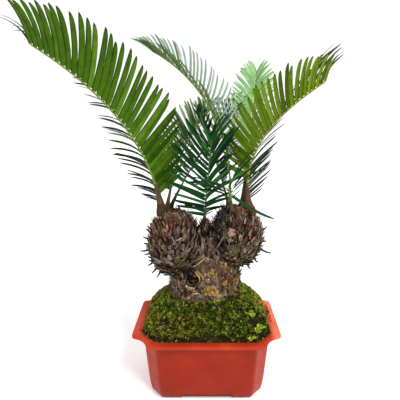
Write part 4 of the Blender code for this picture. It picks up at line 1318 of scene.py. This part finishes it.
def make_cavity(shape, rng):
    """A dark hollow at the trunk's front with torn flaps in orange and tan round it."""
    centre = POT_CENTRE + CAVITY_CENTRE
    blob(shape, centre + Vector((0, 0.0100, 0.0050)), Vector((0.0085, 0.0050, 0.0125)), "black", rng)
    chips(shape, CAVITY_SPOT, 16, CAVITY_CHIPS, 0.0052, rng)
    for i in range(CAVITY_FLAPS):
        turn = FULL_TURN * i / CAVITY_FLAPS + rng.uniform(-0.1, 0.1)
        spoke = Vector((math.cos(turn), 0, math.sin(turn)))
        root = centre + spoke * CAVITY_RADIUS * rng.uniform(0.45, 0.90) + Vector((0, 0.006, 0.0020))
        along = (spoke * rng.uniform(-0.7, 0.2) + Vector((0, -1, 0)) + UP * 0.4).normalized()
        low_or_right = spoke.z < 0.1 or spoke.x > 0.4
        tone = pick(CAVITY_BRIGHT if low_or_right else CAVITY_DIM, rng)
        flake(shape, root, along, spoke, rng.uniform(0.005, 0.009), 0.0042, tone, rng, 0.4,
              rng.random() < 0.5)


def make_lumps(shape, rng):
    for degrees, height, size in AMBER_LUMPS:
        turn = math.radians(degrees)
        place = trunk_point(turn, height) + trunk_normal(turn, height) * LUMP_LIFT
        for _ in range(LUMP_BLOBS):
            shift = Vector((rng.uniform(-1, 1), rng.uniform(-0.3, 0.3), rng.uniform(-1, 1))) * size * 0.8
            tone = pick(LUMP_TONES, rng)
            blob(shape, place + shift, Vector((size, size * 0.5, size)) * rng.uniform(0.30, 0.62), tone, rng)


# Fronds

def frond_frame(frond, share):
    """Directions at a share of the rib's length: along it, towards its upper side, and sideways."""
    weight = 1 - (1 - share) ** frond.bend
    azimuth, elevation = (math.radians(between(ends, weight)) for ends in zip(frond.aim_start, frond.aim_end))
    along, upper = turned(flat_way(azimuth), UP, elevation)
    return along, upper, along.cross(upper)


def blade_sides(frond, upper, sideways, share):
    """Upper side and sideways of the blade, turned about the rib at a share of its leafy part."""
    return turned(upper, sideways, math.radians(between(frond.roll, share)))


def rib_points(frond):
    points = [POT_CENTRE + Vector(frond.base)]
    for i in range(RIB_STEPS):
        points.append(points[-1] + frond_frame(frond, (i + 0.5) / RIB_STEPS)[0] * (frond.length / RIB_STEPS))
    return points


def on_rib(path, share):
    place = share * RIB_STEPS
    span = min(int(place), RIB_STEPS - 1)
    return path[span].lerp(path[span + 1], place - span)


def rib_radius(frond, share):
    """Radius of the stalk and rib, swollen towards the foot."""
    swell = frond.swell * max(0.0, 1 - share / SWELL_SHARE) + 0.55 * math.exp(-share * frond.length / 0.006)
    if share < RIB_TAPER:
        radius = between((PETIOLE_RADIUS, RACHIS_RADIUS), share / RIB_TAPER)
    else:
        radius = between((RACHIS_RADIUS, RACHIS_TIP_RADIUS), (share - RIB_TAPER) / (1 - RIB_TAPER))
    return radius * frond.rib_width * (1 + swell)


def make_rib(frond):
    """The stalk and rib: an oval tube with a groove along its upper side."""
    shape = Gathered()
    points = rib_points(frond)
    foot = points[0] - frond_frame(frond, 0.0)[0] * SOCKET_DEPTH
    rings = []
    looks = []
    for i, point in enumerate([foot] + points):
        share = max(0, i - 1) / RIB_STEPS
        radius = rib_radius(frond, share)
        _, upper, sideways = frond_frame(frond, share)
        leafy_share = max(0.0, (share - frond.bare) / (1 - frond.bare))
        up, across = blade_sides(frond, upper, sideways, leafy_share)
        ring = []
        for j in range(RIB_SIDES):
            turn = FULL_TURN * j / RIB_SIDES
            groove = RIB_GROOVE * math.exp(-(((turn - math.pi / 2) / 0.5) ** 2))
            out = across * math.cos(turn) + up * math.sin(turn) * RIB_FLATNESS
            ring.append(point + out * radius * (1 - groove))
        rings.append(ring)
        if i:
            looks.append("foot" if share * frond.length < FOOT_LENGTH else
                         "stalk" if share < frond.stalk else "rib")
    shape.loft(rings, looks)
    name = frond.name
    tones = frond.tones
    materials = {
        "rib": leaf_surface(f"{name}_rib", tones.rib, 0.5, 0.3),
        "stalk": mottled_surface(f"{name}_stalk", tones.stalk, 0.6, 0.3, 420, 0.6, 0.0003, (1, 1, 0.12)),
        "foot": mottled_surface(f"{name}_foot", tones.foot, 0.8, 0.2, 240, 0.5, 0.0004),
    }
    stand_in(shape.build(f"{name}_rib", materials, 60), "leaf", name)


def lean_angle(frond, share):
    first, middle, last = frond.lean
    if share < 0.5:
        return math.radians(between((first, middle), share / 0.5))
    return math.radians(between((middle, last), ((share - 0.5) / 0.5) ** 1.5))


def leaf_place(count_share):
    """Share along the leafy part of the rib: leaflets crowd at the stalk and a little at the tip."""
    first, second, third = LEAF_CROWDING
    return count_share * (first + count_share * (second + count_share * third))


def row_directions(frond, share, side, lift):
    """Along the rib, outward in the plane of one row of leaflets, and square to that plane, upwards."""
    along, upper, sideways = frond_frame(frond, between((frond.bare, 1), share))
    up, across = blade_sides(frond, upper, sideways, share)
    spread = math.radians(between(frond.opening, share)) + lift
    outward = up * math.cos(spread) + across * (side * math.sin(spread))
    return along, outward, outward.cross(along) * side


def leaflet(shape, frond, root, share, side, length, width, look, rng, steepness, sag):
    """A narrow leaflet with a grooved, keeled section, which droops a little and hooks at its tip."""
    along, outward, face = row_directions(frond, share, side, rng.gauss(0, 0.05) * frond.untidy)
    lean = lean_angle(frond, share) * steepness + rng.gauss(0, 0.035) * frond.untidy
    roll = rng.gauss(frond.twist, 0.16 * frond.untidy)
    droop = LEAF_DROOP * sag * rng.uniform(0.7, 1.3)
    rings = []
    looks = []
    point = root.copy()
    last = 0.0
    for station, wide in LEAF_OUTLINE:
        middle = (station + last) / 2
        hook = LEAF_HOOK * max(0.0, (middle - LEAF_HOOK_FROM) / (1 - LEAF_HOOK_FROM)) ** 2
        flat, away = turned(along, outward, lean - LEAF_CURL * (middle - 0.4) - hook)
        step, top = turned(flat, face, droop * (0.4 - middle))
        across, top = turned(-away, top, roll * min(1.0, station * 4))
        point = point + step * (length * (station - last))
        half = 0.5 * width * wide
        deep = 0.5 * width * (0.35 + 0.65 * wide)
        rings.append([point + across * (x * half) + top * (z * deep) for x, z in LEAF_SECTION])
        if station > 0:
            name = "base" if station < BASE_END else "tip" if station > TIP_START else look
            # Faces along one edge take the dark tone: a painted shadow of the overlapping leaflet
            looks.append(tuple("dark" if i in SHADOWED_EDGE_FACES and name in LEAF_TONES else name
                               for i in range(len(LEAF_SECTION))))
        last = station
    shape.loft(rings, looks)


def stray_leaflet(shape, root):
    """The leaflet that hangs across the right head, bowed upwards."""
    tip = POT_CENTRE + STRAY_TIP
    along = (tip - root).normalized()
    blade = (along.cross(UP).normalized() * 0.6 + UP * 0.8).normalized()
    rings = []
    for station, wide in LEAF_OUTLINE:
        point = root.lerp(tip, station) + UP * (4 * STRAY_BOW * station * (1 - station))
        slope = (tip - root + UP * (4 * STRAY_BOW * (1 - 2 * station))).normalized()
        across = square_to(blade, slope)
        top = slope.cross(across)
        half = 0.5 * STRAY_WIDTH * wide
        rings.append([point + across * (x * half) + top * (z * half) for x, z in LEAF_SECTION])
    shape.loft(rings, ["base" if station < STRAY_BASE_END else "tip" if station > TIP_START else "body"
                       for station, _ in LEAF_OUTLINE[1:]])


def make_leaflets(frond):
    shape = Gathered()
    rng = Random(frond.name)
    path = rib_points(frond)
    shaded = frond.shaded
    for i in range(frond.pairs):
        share = leaf_place(i / (frond.pairs - 1))
        spacing = frond.length * (1 - frond.bare) * (leaf_place((i + 1) / (frond.pairs - 1)) - share)
        root = on_rib(path, between((frond.bare, 1), share))
        profile = follow(FRONT_PROFILE if frond.lit_from else LEAF_PROFILE, share)[0]
        room = LEAF_OVERLAP + spacing * math.sin(lean_angle(frond, share))
        fullness = between(frond.fullness, share)
        width = min(frond.width * fullness, frond.width * profile * fullness + LEAF_OVERLAP, room * fullness)
        for side in (-1, 1):
            length = frond.leaf * profile * rng.uniform(0.95, 1.03)
            breadth = width * rng.uniform(0.92, 1.0)
            look = pick(LEAF_TONES, rng)
            steepness = sag = 1.0
            if shaded and side == shaded.side:
                if rng.random() < shaded.missing:
                    continue
                breadth *= shaded.width / fullness
                length *= follow(shaded.lengths, share)[0]
                steepness = shaded.lean
                sag = shaded.sag
                # Most of this row takes the shade tone, a painted shade
                if rng.random() < SHADED_TONE:
                    look = "shade"
            elif share < frond.lit_from:
                continue
            leaflet(shape, frond, root, share, side, length, breadth, look, rng, steepness, sag)
    if frond.name == STRAY_FROND:
        stray_leaflet(shape, on_rib(path, STRAY_SHARE))
    materials = {part: leaf_surface(f"{frond.name}_{part}", getattr(frond.tones, part))
                 for part in ("body", "light", "dark", "base", "tip", "shade")}
    stand_in(shape.build(f"{frond.name}_leaflets", materials, 60), "leaf", frond.name)


# Stage, light and camera

def make_stage():
    bpy.ops.mesh.primitive_plane_add(size=12, location=(0, 0, -0.0002))
    floor = bpy.context.object
    floor.name = "floor"
    look = Surface("pale_floor", 0.9, 0.1)
    look.paint(look.tones(look.noise(3, 2), (0.3, 246, 246, 246), (0.7, 250, 250, 250)))
    look.shader.inputs["Emission Color"].default_value = (1.0, 1.0, 1.0, 1.0)
    look.shader.inputs["Emission Strength"].default_value = FLOOR_GLOW
    floor.data.materials.append(look.material)
    floor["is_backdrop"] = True


def make_light():
    """A white room that shows a brighter backdrop behind the plant, and three suns."""
    world = bpy.data.worlds.new("studio")
    world.use_nodes = True
    nodes = world.node_tree.nodes
    links = world.node_tree.links
    room = nodes["Background"]
    backdrop = nodes.new("ShaderNodeBackground")
    for shader, strength in ((room, AMBIENT), (backdrop, BACKDROP)):
        shader.inputs["Color"].default_value = (1.0, 1.0, 1.0, 1.0)
        shader.inputs["Strength"].default_value = strength
    both = nodes.new("ShaderNodeMixShader")
    links.new(nodes.new("ShaderNodeLightPath").outputs["Is Camera Ray"], both.inputs[0])
    links.new(room.outputs[0], both.inputs[1])
    links.new(backdrop.outputs[0], both.inputs[2])
    links.new(both.outputs[0], nodes["World Output"].inputs["Surface"])
    bpy.context.scene.world = world
    for name, (aim, strength, softness) in SUNS.items():
        light = bpy.data.lights.new(name, "SUN")
        light.energy = strength
        light.angle = math.radians(softness)
        add_object(name, light).rotation_euler = Vector(aim).to_track_quat("-Z", "Y").to_euler()
    bpy.context.scene.view_settings.view_transform = "Standard"


def make_camera():
    data = bpy.data.cameras.new("camera")
    data.sensor_width = 36
    data.lens = CAMERA_LENS
    data.shift_x = CAMERA_SHIFT_X
    data.clip_start = 0.01
    camera = add_object("camera", data)
    camera.location = POT_CENTRE + CAMERA_PLACE
    camera.rotation_euler = (math.pi / 2 - CAMERA_PITCH, 0, 0)
    bpy.context.scene.camera = camera


def write_sizes():
    """Gathers the CAD box and the dressed model's box as plain lists of numbers; they are not written anywhere."""
    boxes = {name: [list(corner) for corner in box] for name, box in (("cad", CAD_BOX), ("visual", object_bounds()))}


def main():
    make_camera()
    make_light()
    make_stage()
    make_pot()
    make_moss()
    make_litter()
    bark = {name: bark_surface(f"bark_{name}", tone) for name, (tone, _) in BARK_TONES.items()}
    make_trunk(bark)
    make_heads(bark)
    make_shoot(bark)
    for frond in FRONDS:
        make_rib(frond)
        make_leaflets(frond)
    write_sizes()


main()
